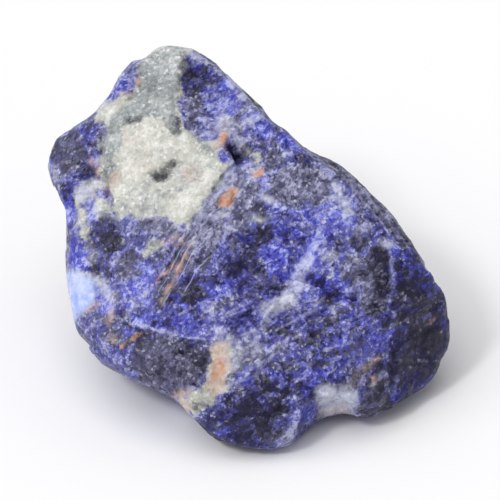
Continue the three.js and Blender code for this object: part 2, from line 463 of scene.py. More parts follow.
FRONT_MINERALS = {
    Mineral.CALCITE: (
        # From the top of the lump down to its ragged lower edge.
        Patch(
            (
                (-13.2, 24.4), (-12.4, 26.4), (-7.4, 26.4), (-7.2, 24.9), (-8.4, 23.6), (-8.4, 18.4),
                (-8.9, 16.2), (-8.1, 14.8), (-6.0, 14.1), (-4.1, 13.2), (-3.8, 11.4), (-2.6, 9.8),
                (-3.7, 8.2), (-5.4, 5.8), (-7.6, 3.2), (-9.1, 2.8), (-10.3, 4.2), (-13.6, 4.0),
                (-17.3, 4.1), (-17.5, 7.6), (-19.1, 9.4), (-18.7, 13.4), (-17.6, 14.9), (-19.4, 16.8),
                (-17.0, 18.6), (-15.6, 19.4), (-13.9, 19.8), (-14.0, 22.0),
            ),
            wrap=-0.45,
        ),
        Streak(((-20.6, 2.2), (-20.2, 0.4), (-19.5, -1.4), (-19.5, -2.4)), 0.8, most=-0.3),
        Streak(((-13.0, -0.6), (-11.8, 0.4), (-10.6, 1.4)), 1.1, most=0.1),
        Blot((1.0, 11.1), (2.2, 0.8), 85),
        Blot((-20.3, -2.9), (1.6, 0.7), 10),
        Blot((-20.5, 2.0), (2.2, 1.0), -60, most=0.1),
        # Left of it, round two pockets of blue.
        Patch(
            (
                (-21.6, 8.2), (-19.8, 8.9), (-18.0, 8.5), (-18.2, 7.8), (-19.3, 7.4), (-19.3, 6.5),
                (-20.6, 6.0), (-21.6, 6.0),
            ),
            most=0.9,
        ),
        Patch(
            (
                (-21.8, 7.0), (-20.6, 6.8), (-20.6, 4.6), (-19.8, 3.4), (-19.6, 2.0), (-20.8, 1.6),
                (-21.4, 3.6),
            ),
            most=0.25,
        ),
        Patch(((-19.2, 6.7), (-17.2, 6.8), (-17.0, 4.0), (-19.2, 3.8), (-18.9, 5.2)), most=0.35),
        # The strip right of the oval, and down under it.
        Patch(
            (
                (-4.4, -11.0), (-2.6, -10.8), (-1.9, -12.6), (-2.3, -14.6), (-3.0, -16.6), (-4.2, -18.2),
                (-5.6, -19.3), (-7.6, -20.2), (-9.2, -18.7), (-6.8, -17.6), (-5.2, -16.0), (-4.3, -13.6),
            ),
            wrap=-0.3,
            most=0.6,
        ),
    ),
    Mineral.CHIP: (
        # On the left edge.
        Patch(
            (
                (-23.4, -2.2), (-20.2, -2.9), (-19.2, -3.9), (-18.8, -5.3), (-19.6, -6.5), (-21.0, -8.0),
                (-21.9, -8.9), (-23.6, -9.4),
            ),
            wrap=-0.1,
        ),
    ),
    Mineral.MILK: (
        # Right of the strip, and in the notch.
        Patch(
            (
                (-3.4, -11.0), (-1.8, -11.0), (-1.0, -12.2), (-1.2, -14.0), (-2.0, -15.2), (-3.2, -15.4),
            ),
            most=0,
        ),
        Patch(((-21.6, 8.2), (-18.6, 8.6), (-19.6, 7.0), (-21.4, 5.6)), most=0.1),
        Patch(
            (
                (8.0, -17.7), (8.7, -16.8), (10.4, -16.6), (11.0, -17.4), (11.6, -16.9), (13.0, -17.2),
                (13.2, -18.7), (12.2, -20.9), (9.2, -20.9), (8.4, -19.2),
            ),
        ),
        Patch(((-1.8, -11.6), (1.2, -10.0), (2.4, -11.6), (0.0, -14.2), (-1.8, -15.6)), most=-0.5),
        Streak(((7.2, -1.2), (6.3, -3.0), (5.5, -4.6), (4.4, -6.2), (2.4, -7.8)), 1.2, most=-0.2),
        Patch(
            (
                (6.0, -4.2), (5.8, -5.2), (5.2, -6.2), (4.8, -7.1), (3.4, -7.5), (2.4, -8.8), (1.4, -8.5),
                (1.6, -6.8), (3.2, -6.1), (4.5, -5.2), (5.0, -4.6),
            ),
            most=0.08,
        ),
        Streak(((5.3, -5.2), (4.3, -6.3), (3.0, -6.9), (2.1, -8.2)), 1.4, most=0.6),
        Blot((-2.0, 15.2), (1.8, 1.4), -30, most=-0.3),
        Streak(((10.6, 8.0), (11.2, 6.4), (12.2, 5.0)), 1.0, most=0),
        Streak(((4.8, -22.6), (4.0, -24.4)), 0.9, wrap=-0.3, most=-0.1),
        Streak(((-3.3, 17.0), (-3.0, 15.2)), 1.3, most=0.1),
        Streak(((-2.2, 14.1), (-1.2, 13.3), (-0.4, 12.3)), 0.5),
        Streak(((-3.8, 4.4), (-2.7, 4.5)), 0.35),
        Streak(((0.4, 3.7), (1.8, 3.7)), 0.35),
        Streak(((0.8, 6.9), (2.6, 6.2)), 0.5),
        Streak(((15.0, -16.7), (16.4, -15.5)), 0.3),
        Blot((-18.0, -4.6), (2.4, 1.1), -50, most=0),
        Blot((16.9, 0.6), (0.8, 0.6)),
        Blot((10.0, -0.8), (0.9, 0.7)),
    ),
    Mineral.FLESH: (
        Patch(
            (
                (-4.4, -11.0), (-2.9, -11.0), (-2.3, -12.6), (-2.7, -15.0), (-3.3, -17.0), (-4.4, -18.2),
                (-5.4, -16.6), (-4.5, -14.2),
            ),
            most=0.35,
        ),
        Streak(((-7.4, -19.6), (-8.3, -18.7), (-9.4, -18.2), (-7.6, -17.6)), 1.1, most=0.1),
        Blot((-3.4, 13.8), (2.2, 1.1), 70),
        Blot((-17.0, 8.5), (2.0, 1.0), 65, most=0),
        Blot((-7.3, 9.2), (2.2, 1.7), 0, most=-0.1),
        Blot((-13.6, 12.0), (4.0, 5.0), 0, most=-0.45),
        Blot((-19.4, 10.5), (1.2, 0.6), -60, most=0),
        Streak(((-16.2, 19.3), (-14.2, 19.4)), 0.5, most=0.1),
        Blot((-9.2, 1.2), (1.4, 0.8), 20, most=0),
        Streak(((-7.4, 0.5), (-8.3, -1.2), (-9.4, -3.6), (-10.9, -6.3)), 0.3, most=0),
        Streak(((-16.9, -7.4), (-17.5, -9.2)), 0.4, most=0.1),
        Blot((-16.9, -11.0), (1.0, 0.6), -40, most=0),
        Blot((-19.4, -6.8), (1.2, 0.6), 40, most=0),
        Blot((14.1, -14.9), (1.6, 1.2), 50, most=-0.2),
        Blot((13.2, -16.0), (1.2, 1.0), 30, most=-0.2),
        Blot((11.0, -19.9), (2.4, 0.9), 0, most=0),
    ),
    Mineral.FELDSPAR: (
        Patch(((-4.1, 5.4), (-3.5, 7.0), (-2.4, 7.8), (-1.0, 7.6), (-2.0, 6.4), (-2.5, 5.2))),
        Streak(((-3.8, -13.0), (-3.9, -14.6), (-4.6, -16.2)), 1.5, most=0.05),
        Streak(((-3.1, 14.5), (-3.5, 13.2)), 0.6),
        Streak(((0.5, 9.1), (1.6, 9.9)), 0.7),
        Blot((-13.9, 20.9), (1.0, 0.5), 80),
        Streak(((-7.9, -0.4), (-9.2, -3.2)), 0.25, most=0.05),
        Streak(((-9.6, -4.0), (-10.8, -6.2)), 0.3, most=-0.12),
        Streak(((-9.2, -1.0), (-10.4, -3.0)), 0.2, most=0),
        Streak(((-10.8, -2.8), (-11.6, -4.0)), 0.25, most=0.05),
        Streak(((-13.5, -10.1), (-14.9, -11.1)), 0.7, most=0.15),
        Streak(((-15.4, -11.5), (-16.1, -12.1)), 0.35),
        Blot((15.6, -13.6), (1.1, 0.7), 20, most=0),
        Blot((15.3, -15.9), (0.6, 0.5)),
        Streak(((23.0, -8.4), (22.0, -9.3)), 0.35, most=0.1),
    ),
    Mineral.SLATE: (
        # In the calcite: its top, its neck and its borders.
        Patch(((-13.6, 22.0), (-13.0, 26.0), (-8.0, 26.0), (-8.0, 22.0)), wrap=-0.3, most=0.2),
        Patch(
            (
                (-13.8, 23.4), (-12.0, 22.8), (-9.6, 22.8), (-9.2, 17.0), (-8.4, 14.4), (-9.8, 14.2),
                (-10.4, 16.6), (-13.4, 16.6), (-16.8, 14.6), (-17.8, 16.4), (-14.4, 18.2), (-13.8, 20.6),
            ),
            most=0.3,
        ),
        Streak(((-16.6, 15.6), (-17.5, 13.8), (-17.4, 11.2)), 3.2),
        Streak(((-17.8, 11.4), (-17.0, 8.6)), 2.0, most=0.1),
        Streak(((-20.2, 1.6), (-19.6, 0.4), (-19.4, -2.2)), 1.4),
        Streak(((-17.6, 5.2), (-14.0, 4.8), (-11.0, 5.0)), 1.6, most=0),
        Streak(((-14.0, -1.6), (-12.8, -0.6)), 1.0, most=0),
        Blot((-7.3, 9.2), (2.4, 1.8), 0, most=0.3),
        Blot((-5.6, 12.4), (2.6, 1.4), -50, most=0),
        Blot((-5.6, 10.4), (2.6, 2.0), -30, most=-0.1),
        Blot((-14.7, 19.2), (2.6, 1.6), 0, most=0.5),
        Blot((-9.9, 21.0), (2.6, 3.2), 0, most=0.8),
        Patch(((-5.0, -15.0), (-3.4, -16.4), (-5.0, -18.8), (-7.6, -19.6), (-7.6, -17.6)), most=-0.15),
        Blot((-11.6, 7.4), (7.0, 2.8), 15, most=-0.1),
        Blot((-16.6, -10.8), (4.0, 1.6), -10, most=0),
        Blot((13.4, -12.2), (3.2, 1.8), 40, most=0),
        Streak(((2.6, -14.2), (9.8, -14.0)), 1.4, most=0.1),
        Blot((21.6, -10.8), (4.6, 4.0), 30, most=0.2),
        Blot((-11.8, -0.2), (2.0, 3.0), 0, most=0),
        Blot((-8.8, 8.7), (3.4, 2.8), 20, most=0),
        Blot((-6.8, 22.6), (3.0, 2.4), 0, most=0),
        Blot((2.4, -22.2), (3.2, 2.4), 0, most=0),
        Blot((-17.0, 0.8), (3.0, 2.0), 0, most=0.2),
        Blot((-13.7, -1.9), (2.4, 2.2), 0, most=0),
        Blot((19.6, -5.4), (4.0, 3.0), 0, most=0.1),
        Blot((9.0, -11.0), (4.2, 2.2), -10, most=0),
        Streak(((1.4, -1.0), (0.8, -3.4), (0.0, -6.0)), 1.6, most=-0.15),
        Streak(((-1.2, 7.0), (-2.0, 3.0), (-2.2, 0.0)), 1.4, most=0.1),
        # The oval.
        Patch(
            (
                (-14.4, -11.2), (-12.0, -10.6), (-9.0, -10.7), (-7.0, -11.6), (-5.4, -13.0), (-4.9, -14.1),
                (-5.5, -15.4), (-7.0, -16.6), (-8.6, -18.0), (-10.2, -18.4), (-12.0, -17.6), (-13.6, -16.2),
                (-14.6, -14.2),
            ),
        ),
        Patch(
            (
                (-24.9, 12.6), (-23.4, 14.2), (-21.0, 14.8), (-20.4, 11.6), (-21.4, 10.2), (-23.6, 9.2),
            ),
            most=0.3,
        ),
        Patch(
            (
                (2.0, 8.0), (3.6, 10.0), (6.2, 10.6), (8.8, 9.8), (10.4, 8.2), (9.4, 5.8), (6.0, 4.8),
                (3.4, 5.8),
            ),
        ),
        Patch(((-2.0, 5.4), (-1.0, 6.6), (1.4, 6.2), (2.0, 4.6), (1.4, 2.4), (-0.8, 1.8), (-2.2, 3.4))),
        Patch(
            (
                (-12.4, -5.6), (-9.4, -0.6), (-6.6, 4.6), (-3.4, 9.2), (-0.2, 9.6), (-0.8, 6.6),
                (-2.8, 3.4), (-4.4, -0.6), (-7.4, -5.2),
            ),
            most=0.15,
        ),
        Patch(((-16.1, -0.6), (-14.8, 0.4), (-13.9, -0.8), (-14.6, -3.0), (-15.9, -3.9), (-16.6, -2.6))),
        Patch(
            (
                (7.6, 12.2), (11.0, 11.2), (16.0, 6.8), (21.2, 0.0), (18.8, 0.0), (17.4, 2.4), (12.6, 7.6),
                (9.4, 10.6),
            ),
            wrap=-0.3,
        ),
        Patch(
            (
                (11.0, -1.0), (13.2, -0.6), (14.8, -1.0), (14.4, -4.8), (13.2, -5.8), (11.4, -4.4),
            ),
            most=0.1,
        ),
        Patch(
            (
                (14.2, 0.4), (16.6, 0.6), (17.3, -2.0), (17.0, -7.4), (14.6, -8.8), (13.4, -6.4),
                (14.4, -3.0),
            ),
        ),
        Patch(((-8.9, -5.2), (-7.4, -4.0), (-5.6, -4.4), (-5.2, -5.8), (-6.6, -6.8), (-8.4, -6.6))),
        Patch(((13.2, -18.4), (15.2, -16.6), (17.2, -17.8), (17.0, -19.4), (14.6, -21.2), (13.2, -20.4))),
        Patch(
            (
                (-1.4, -12.0), (1.0, -10.6), (2.0, -13.2), (-0.6, -16.6), (-3.0, -17.0), (-2.4, -14.4),
            ),
            most=0.1,
        ),
        Blot((2.9, 11.2), (2.4, 1.8)),
        Blot((-7.0, 18.2), (4.0, 2.0), 80),
        Streak(((-22.9, 3.4), (-23.0, -2.4)), 1.3, wrap=-0.5),
        Streak(((0.4, -9.0), (3.4, -9.8), (6.0, -11.0)), 1.2, most=0.1),
        Streak(((-13.6, 3.2), (-11.2, 3.0), (-8.6, 2.0)), 2.2, most=0.2),
        Streak(((-18.6, 4.6), (-16.4, 3.8)), 1.6, most=0.2),
        Blot((-7.2, 15.4), (1.6, 2.6), 30, most=0.1),
        Streak(((2.8, -12.6), (5.4, -11.6), (9.4, -12.6)), 2.2, most=-0.1),
        Streak(((0.8, -14.8), (1.9, -17.6)), 1.8, most=0.1),
        Streak(((8.2, -6.4), (10.2, -5.4)), 1.6, most=0.1),
        Blot((0.0, 7.4), (2.4, 1.8), 30, most=0.2),
        Blot((13.4, 0.8), (2.6, 1.8), -20, most=0.2),
    ),
    Mineral.DARK: (
        # The right end: dark rock, darkened more as painted shade where it turns from the light.
        Patch(
            (
                (17.2, -6.2), (20.6, -5.2), (22.2, -4.4), (26.0, -5.4), (26.0, -12.9), (22.0, -20.4),
                (16.4, -22.4), (16.6, -18.0), (16.8, -13.0), (18.6, -9.6),
            ),
            wrap=-0.6,
        ),
        Patch(
            (
                (17.3, 0.2), (19.8, 0.0), (22.6, -2.8), (24.0, -5.4), (20.6, -6.4), (17.9, -5.8),
            ),
            wrap=-0.2,
        ),
        # A recess by the top, darkened as painted shadow.
        Patch(
            (
                (-8.8, 23.2), (-7.4, 24.0), (-4.8, 22.6), (-4.4, 20.8), (-6.4, 19.8), (-8.6, 20.0),
            ),
            most=0.6,
        ),
        Patch(((15.2, 0.6), (16.8, 0.6), (17.3, -1.2), (17.2, -5.6), (15.8, -5.8), (14.8, -2.0)), most=0.3),
        Patch(
            (
                (-1.0, 2.0), (1.6, 3.0), (3.4, 1.8), (1.2, -0.6), (1.4, -3.6), (-0.8, -4.0), (-3.4, -3.0),
                (-3.4, -1.4),
            ),
        ),
        Patch(
            (
                (-19.8, 3.0), (-18.4, 3.8), (-16.6, 3.6), (-15.9, 1.8), (-16.7, -0.2), (-18.6, -0.2),
            ),
            most=0.45,
        ),
        # The lowest lobe.
        Patch(
            (
                (0.8, -15.6), (2.6, -15.2), (4.2, -18.0), (3.8, -22.0), (1.6, -25.0), (-4.4, -24.6),
                (-6.8, -21.4), (-4.6, -19.8), (-0.8, -18.8),
            ),
            wrap=-0.4,
        ),
        # Along the crack that a dent grooves: painted shade in it.
        Streak(((6.6, -3.1), (8.2, -3.7), (9.5, -4.8), (11.0, -5.6), (12.6, -6.1)), 1.2, most=0.3),
        Streak(((-5.0, -4.0), (-2.6, -3.6), (0.4, -4.4)), 1.2, most=0.2),
        Streak(((-3.6, -9.2), (-1.2, -8.4), (0.8, -8.0)), 1.2, most=0.4),
        Blot((-18.2, -2.0), (2.6, 1.6), -30),
        Blot((-14.4, -10.9), (2.2, 1.0), 30, most=0),
        # These six: painted shade in the pits that the dents sink.
        Blot((-1.8, 12.3), (2.4, 1.3), -60),
        Blot((-11.0, 9.4), (2.0, 0.9), 15),
        Blot((-9.4, 10.6), (0.8, 0.6)),
        Blot((-14.4, 16.2), (1.6, 0.7), 15, most=0.1),
        Blot((-9.1, 15.7), (1.1, 1.7), -10, most=0),
        Blot((-20.3, 9.4), (2.6, 1.6), 15),
        Blot((-23.0, 7.4), (2.2, 1.5), -50),
        Blot((-7.4, -3.8), (1.9, 1.5), 20),
        Blot((-10.0, -5.8), (2.2, 1.5), 30),
        Blot((-10.4, -9.1), (2.4, 1.5)),
        Blot((-5.8, -13.8), (2.0, 1.6), 0, most=0.3),
        Blot((-7.2, -6.4), (3.6, 2.0), 20, most=0),
        Blot((6.6, 10.9), (1.5, 1.2)),
        Blot((3.7, 1.8), (1.8, 1.2), 0, most=0.1),
        Blot((7.0, 1.4), (1.6, 1.0), 60, most=0.1),
        Blot((4.2, -8.8), (2.8, 1.4), 25, most=0.3),
        Blot((5.4, -20.6), (3.4, 2.2), 80, most=0),
        Patch(((13.6, -14.4), (16.8, -13.2), (17.6, -16.6), (15.4, -19.0), (15.0, -16.8)), most=0.2),
        Blot((3.0, -4.9), (3.4, 1.6), -10, most=0.15),
        Blot((-6.8, -12.6), (3.6, 1.4), -15, most=0),
        Blot((-2.2, -18.6), (2.0, 1.4), 0, most=0.2),
        Blot((-7.3, 9.2), (2.2, 1.6), 0, most=-0.45),
        Blot((17.8, -4.2), (1.2, 2.6), 0, most=0.3),
        Blot((-6.2, -19.2), (1.6, 1.0), 0, most=0.3),
        Blot((6.7, -17.4), (2.6, 1.5), 0, most=0.2),
        Blot((10.0, -8.6), (1.6, 1.2), 0, most=0.1),
        Blot((7.4, -11.8), (2.6, 1.6), -10, most=-0.3),
        Blot((16.6, -8.8), (2.6, 1.4), 0, most=0.1),
        Blot((9.0, -16.0), (3.0, 1.4), -10, most=0),
        Blot((14.2, -7.4), (3.0, 1.8), 30, most=0),
        Blot((3.6, -16.9), (3.0, 2.0), 30, most=0),
    ),
    Mineral.VIVID: (
        # Where it lies over dark rock, it comes out navy.
        Patch(((-6.0, 21.4), (-3.4, 21.2), (-1.0, 18.6), (-1.4, 17.0), (-3.6, 17.2), (-5.8, 18.0)), most=0),
        Patch(((1.4, 0.6), (3.8, 1.0), (5.4, -0.4), (4.8, -2.4), (1.8, -2.6))),
        Patch(((8.0, -12.0), (14.8, -8.8), (16.0, -12.0), (11.0, -16.0), (7.2, -15.2)), most=0),
        Patch(((6.4, -4.4), (9.6, -3.4), (13.4, -6.0), (11.6, -8.6), (7.4, -7.0)), most=-0.3),
        Streak(((2.2, 3.6), (5.0, 4.6), (8.4, 4.6), (12.6, 3.4)), 2.4, most=0.1),
        Streak(((-23.6, 6.8), (-22.7, 4.8), (-22.4, 3.4)), 1.6, wrap=-0.5),
        Streak(((13.6, -12.4), (16.4, -10.9), (19.6, -9.2)), 0.8),
        Streak(((14.8, -13.0), (17.4, -11.6)), 0.5),
        Streak(((2.6, -15.0), (6.4, -14.4), (10.4, -15.8)), 1.6, most=0.1),
        Streak(((18.0, -0.3), (20.4, -1.4), (22.6, -3.6), (23.6, -5.2)), 1.6, wrap=-0.3, most=0.1),
        Streak(((16.8, -18.4), (20.6, -17.2), (23.4, -15.6)), 1.8, wrap=-0.3),
        Blot((-7.0, 22.0), (4.4, 3.2), 0, most=0.2),
        Blot((-3.1, 11.2), (1.3, 0.9)),
        Blot((-15.9, 20.4), (1.6, 1.4), 0, most=0),
        Blot((-19.0, 6.2), (2.0, 1.1), 60),
        Blot((1.6, 15.4), (2.8, 2.2), -50),
        Blot((4.9, 13.6), (2.0, 2.2), 0, most=0.3),
        Blot((1.3, 8.2), (1.3, 1.1)),
        Blot((-8.0, -5.4), (3.0, 2.2), 0, most=0.8),
        Blot((-4.8, -5.4), (2.6, 1.8), 0, most=0.3),
        Blot((0.0, 2.2), (2.0, 2.6), 0, most=0.2),
        Streak(((7.6, 0.6), (7.2, -1.2), (6.8, -3.4)), 1.8, most=0.2),
        Blot((11.4, -2.8), (2.2, 3.4), 0, most=0.2),
        Blot((2.5, -8.8), (2.6, 2.4), 0, most=0.3),
        Blot((-0.4, -15.2), (2.4, 2.2), 0, most=0.3),
        Blot((16.4, -2.2), (1.6, 2.6), 0, most=0.2),
        Blot((-19.5, 4.9), (1.6, 2.2), -20, most=0.3),
        Blot((-20.2, -1.4), (2.4, 3.0), 0, most=0.2),
        Blot((-13.2, -8.4), (3.2, 1.6), 0, most=0.2),
        Blot((-7.4, -6.4), (3.0, 2.0), 0, most=0.4),
        Blot((-2.4, -4.8), (3.0, 1.6), 20, most=0.2),
        Blot((7.8, -16.8), (2.2, 1.6), 0, most=0.3),
        Blot((4.2, -3.2), (2.2, 1.8)),
        Streak(((6.6, -3.1), (8.2, -3.7), (9.5, -4.8), (11.0, -5.6), (12.6, -6.1)), 1.5, most=0.6),
        Blot((2.6, -5.9), (1.9, 1.3), 30),
        Blot((-21.5, -0.9), (4.2, 2.4), -70),
        Blot((-6.3, -19.2), (1.2, 0.9)),
        Blot((-17.6, -7.4), (2.8, 1.8), -40, most=0.2),
        Blot((-9.2, -5.2), (2.6, 1.6), -30, most=0.1),
        Blot((12.0, 5.2), (3.2, 2.0), -60, most=0.1),
        Blot((0.8, 3.2), (2.2, 1.4), 0, most=0),
        Blot((4.6, 2.2), (3.0, 1.6), 0, most=0.2),
        Blot((-12.9, -2.7), (2.6, 1.7), -70),
        Patch(
            (
                (-15.8, -3.8), (-13.4, -3.4), (-12.0, -6.0), (-12.6, -9.0), (-14.4, -9.2), (-15.4, -6.4),
            ),
            most=0,
        ),
        Blot((-18.0, -5.4), (2.2, 1.7)),
        Blot((-7.8, -9.2), (3.6, 1.8), -15, most=0.3),
        Blot((-11.0, -8.9), (2.0, 1.4), 0, most=-0.1),
        Blot((-15.6, -10.2), (1.1, 0.9)),
        Blot((20.2, -3.2), (4.2, 3.4), -20, most=0),
        Blot((15.0, -18.4), (3.2, 2.0), 20, most=0.2),
        Streak(((10.4, 4.8), (8.6, 1.8), (6.6, -2.2), (4.6, -5.2)), 1.6, most=0.1),
        Blot((7.0, -20.4), (2.6, 1.8), 60),
        Blot((-4.4, -21.8), (3.4, 2.4), 0, most=0),
        Blot((-7.4, -3.8), (1.9, 1.5), 20),
    ),
    Mineral.VEIL: (
        # The vein, and the fainter ones.
        Streak(
            (
                (11.0, 6.0), (9.8, 4.0), (8.6, 1.8), (7.3, -0.8), (6.3, -3.0), (5.4, -4.8), (4.2, -6.2),
                (2.2, -8.0),
            ),
            1.8,
            most=0.5,
        ),
        Streak(((6.0, -4.4), (5.4, -6.0), (5.2, -7.2)), 0.6),
        Streak(((-1.8, -14.4), (1.8, -12.8), (4.6, -11.0)), 0.6, most=0.2),
        Streak(((9.6, 11.0), (12.6, 8.0), (15.6, 4.4), (17.4, 1.6)), 0.5),
        Streak(((0.8, 6.9), (2.6, 6.2), (4.2, 5.4)), 1.0),
        Streak(((-15.4, 0.6), (-16.2, -0.6), (-17.0, -2.0), (-16.6, -3.6)), 0.8),
        Streak(((-18.8, -3.6), (-17.4, -5.6), (-16.8, -7.6)), 0.7),
        Streak(((5.6, -18.2), (5.6, -20.4), (4.6, -24.4)), 0.6, wrap=-0.2, most=0),
        Streak(((-3.2, -20.8), (-3.0, -22.8)), 0.5),
        Streak(((-22.9, 3.4), (-23.0, -2.2)), 1.2, wrap=-0.5),
        # Pale lavender rims along the outline, from the top round to the left: partly worn edges, partly a
        # painted rim highlight.
        Streak(((-4.6, 22.8), (-2.4, 21.0), (-0.6, 19.2), (1.2, 17.2)), 1.2, wrap=-0.5),
        Streak(((-14.2, 24.6), (-15.4, 22.8), (-17.0, 20.8)), 1.2, wrap=-0.5),
        Streak(((-17.2, 19.8), (-18.8, 17.8), (-21.4, 15.6), (-24.4, 13.8)), 0.8, wrap=-0.5),
        Streak(((-25.2, 11.4), (-24.2, 9.0), (-23.2, 7.0)), 0.6, wrap=-0.5),
        # Haze.
        Streak(((-17.2, 3.9), (-13.6, 3.0), (-10.6, 3.4), (-8.6, 1.8)), 2.2, most=0),
        Streak(((9.6, 11.6), (13.6, 7.4), (18.0, 2.2)), 1.8, most=0),
        Patch(
            (
                (-8.4, -0.4), (-7.0, 4.0), (-3.8, 10.2), (-1.6, 11.6), (1.2, 9.6), (-1.4, 6.0), (-2.6, 0.6),
            ),
            most=0.35,
        ),
        Blot((1.3, 8.2), (2.6, 1.8), 0, most=0.3),
        Blot((-14.8, 21.6), (1.4, 1.1), 60, most=0.2),
        Blot((-12.9, -3.8), (4.4, 2.2), -75, most=0.35),
        Streak(((-16.2, -9.0), (-13.6, -9.3), (-11.0, -10.2)), 1.2, most=0.05),
        Blot((-15.4, 1.2), (1.4, 2.4), -20, most=0.3),
        Blot((-19.4, 5.0), (2.2, 1.8), 0, most=0.3),
        Blot((-5.6, 14.6), (2.4, 1.4), -20, most=0.5),
        Blot((-2.5, 14.4), (2.0, 3.0), 0, most=0.7),
        Blot((12.0, 2.4), (2.6, 2.0), 0, most=0.5),
        Blot((9.4, -2.6), (2.4, 1.8), -40, most=0.4),
        Blot((10.9, 2.8), (2.4, 2.2), 0, most=0.3),
        Blot((2.2, -1.6), (2.4, 2.0), 0, most=0.1),
        Blot((-7.2, 17.2), (2.2, 2.4), 0, most=-0.1),
        Streak(((-1.2, -15.8), (0.4, -12.8)), 1.5, most=0.2),
        Blot((17.5, -16.4), (1.6, 3.0), 20, most=0.1),
        Blot((9.2, -8.0), (2.6, 1.3), 30, most=-0.1),
        Patch(((9.0, -5.4), (14.6, -3.6), (15.2, -6.6), (12.0, -7.4)), most=-0.1),
        Blot((3.2, -12.2), (2.8, 1.5), 20, most=0.3),
        Blot((-3.4, -22.0), (2.2, 2.0), 0, most=0.8),
        Blot((-10.0, 17.4), (1.7, 3.0), 10, most=0.9),
        Blot((-0.3, 5.0), (1.6, 4.6), 0, most=0.2),
        Blot((8.2, 3.4), (3.0, 1.8), 0, most=0.3),
        Blot((5.0, 5.9), (2.6, 1.4), -20, most=0.3),
        Blot((-2.4, 0.3), (2.6, 2.0), 0, most=0.1),
        Blot((-4.8, 18.6), (2.0, 2.6), 0, most=0.3),
        Blot((19.9, -6.4), (1.8, 2.0), 0, most=0.2),
        Streak(((-9.8, 4.2), (-8.0, 6.4), (-6.0, 8.6), (-4.4, 9.8)), 2.2, most=0.8),
        # A pale rim along the top outline: partly worn edge, partly a painted rim highlight.
        Streak(((-12.4, 24.9), (-10.0, 25.2), (-8.2, 24.8)), 1.4, wrap=-0.4),
        Blot((-17.6, 17.0), (2.4, 1.2), 20, most=0.3),
        Blot((12.6, -1.4), (2.4, 1.6), 0, most=0.1),
        Blot((11.2, -18.4), (4.0, 2.6), 0, most=0.4),
        Blot((3.2, -0.7), (3.2, 2.0), 0, most=-0.1),
        Blot((-9.3, 23.2), (1.4, 3.6), 0, most=0.3),
        # A pale rim down the right of the top: partly worn edge, partly a painted rim highlight.
        Streak(((-9.0, 25.0), (-6.8, 24.4), (-4.8, 22.8)), 1.8, wrap=-0.5),
        Patch(((1.2, 7.4), (2.8, 10.4), (9.2, 11.0), (11.6, 7.6), (7.6, 6.2)), most=0.3),
        Patch(
            (
                (8.6, 1.6), (10.4, 0.4), (10.0, -2.6), (9.2, -6.6), (7.4, -7.6), (6.6, -5.4), (7.4, -2.6),
            ),
            most=0.2,
        ),
        Patch(((2.0, -10.6), (6.4, -10.8), (6.8, -12.8), (3.4, -12.8)), most=-0.1),
        Patch(
            (
                (-16.2, -3.4), (-13.0, -3.0), (-11.8, -5.4), (-12.4, -9.0), (-14.6, -9.6), (-15.8, -6.4),
            ),
            most=0,
        ),
        Blot((11.4, 5.6), (5.6, 4.0), -60),
        Blot((8.4, 5.0), (4.0, 2.2), 0, most=0.3),
        Blot((13.6, 2.5), (3.6, 2.0), -25, most=0.2),
        Blot((-0.4, 16.8), (2.8, 2.2), -40),
        Blot((-4.4, 15.4), (3.6, 2.2), -20, most=0.4),
        Blot((-3.8, 18.8), (3.0, 1.8), -30, most=0.2),
        Blot((4.5, 11.3), (2.0, 2.2), 0, most=0.5),
        Blot((3.2, 13.6), (2.4, 1.6), -40, most=0.2),
        Blot((0.0, -12.8), (4.4, 3.4), -50, most=0.3),
        Blot((-4.5, -7.9), (3.2, 2.2), -30, most=0),
        Blot((-3.4, -9.8), (3.0, 1.6), 0, most=0.3),
    ),
    Mineral.THREAD: (
        Streak(((9.4, 3.0), (8.2, 0.8), (6.4, -2.8), (5.4, -4.8), (4.2, -6.4), (2.2, -7.6)), 1.1, most=0),
        Streak(((-3.8, -17.2), (1.0, -15.2)), 0.4),
        Streak(((-0.4, -16.0), (1.6, -14.3), (3.2, -12.4), (4.9, -10.7)), 0.4, most=0.05),
        Streak(((16.4, 1.8), (17.4, -0.4), (17.6, -4.0), (17.2, -6.8)), 0.35, most=0),
        Streak(((10.2, 11.6), (13.4, 8.6), (17.2, 4.6), (19.4, 1.4)), 0.3),
        Streak(((-14.6, -10.2), (-12.0, -9.9), (-9.0, -10.3), (-6.6, -11.1), (-4.8, -11.6)), 0.45),
        Streak(((-9.2, -3.2), (-10.4, -5.7)), 0.35),
        Streak(((-7.0, -9.9), (-4.0, -8.5), (0.8, -6.9)), 0.3),
        Streak(((-5.4, -9.6), (-2.6, -7.6), (1.0, -5.8)), 0.3),
        Streak(((-1.6, -10.6), (1.6, -9.6), (4.6, -8.0)), 0.3),
        Streak(((3.2, -9.9), (6.4, -8.2), (9.6, -6.6)), 0.3),
        Streak(((6.4, -13.4), (9.8, -12.0), (13.2, -11.4)), 0.3),
        Streak(((11.6, -8.9), (14.4, -7.6), (17.4, -6.9)), 0.25),
        Streak(((-8.6, -7.9), (-5.0, -6.0), (-1.4, -4.9)), 0.25),
        Streak(((17.5, -13.6), (23.4, -13.8)), 0.3, most=-0.06),
        Streak(((20.2, -8.0), (23.7, -6.2)), 0.3, most=-0.06),
        Streak(((9.6, 11.2), (12.8, 7.8), (15.8, 4.2), (17.6, 1.2)), 0.35),
        Streak(((10.9, 10.6), (14.4, 6.8), (18.6, 1.4)), 0.25),
    ),
    Mineral.SHEETED: (
        Patch(
            (
                (-13.5, -7.5), (-10.4, -1.4), (-6.4, 5.0), (-2.8, 10.4), (0.0, 9.4), (-3.0, 3.4),
                (-7.4, -5.6),
            ),
        ),
    ),
}

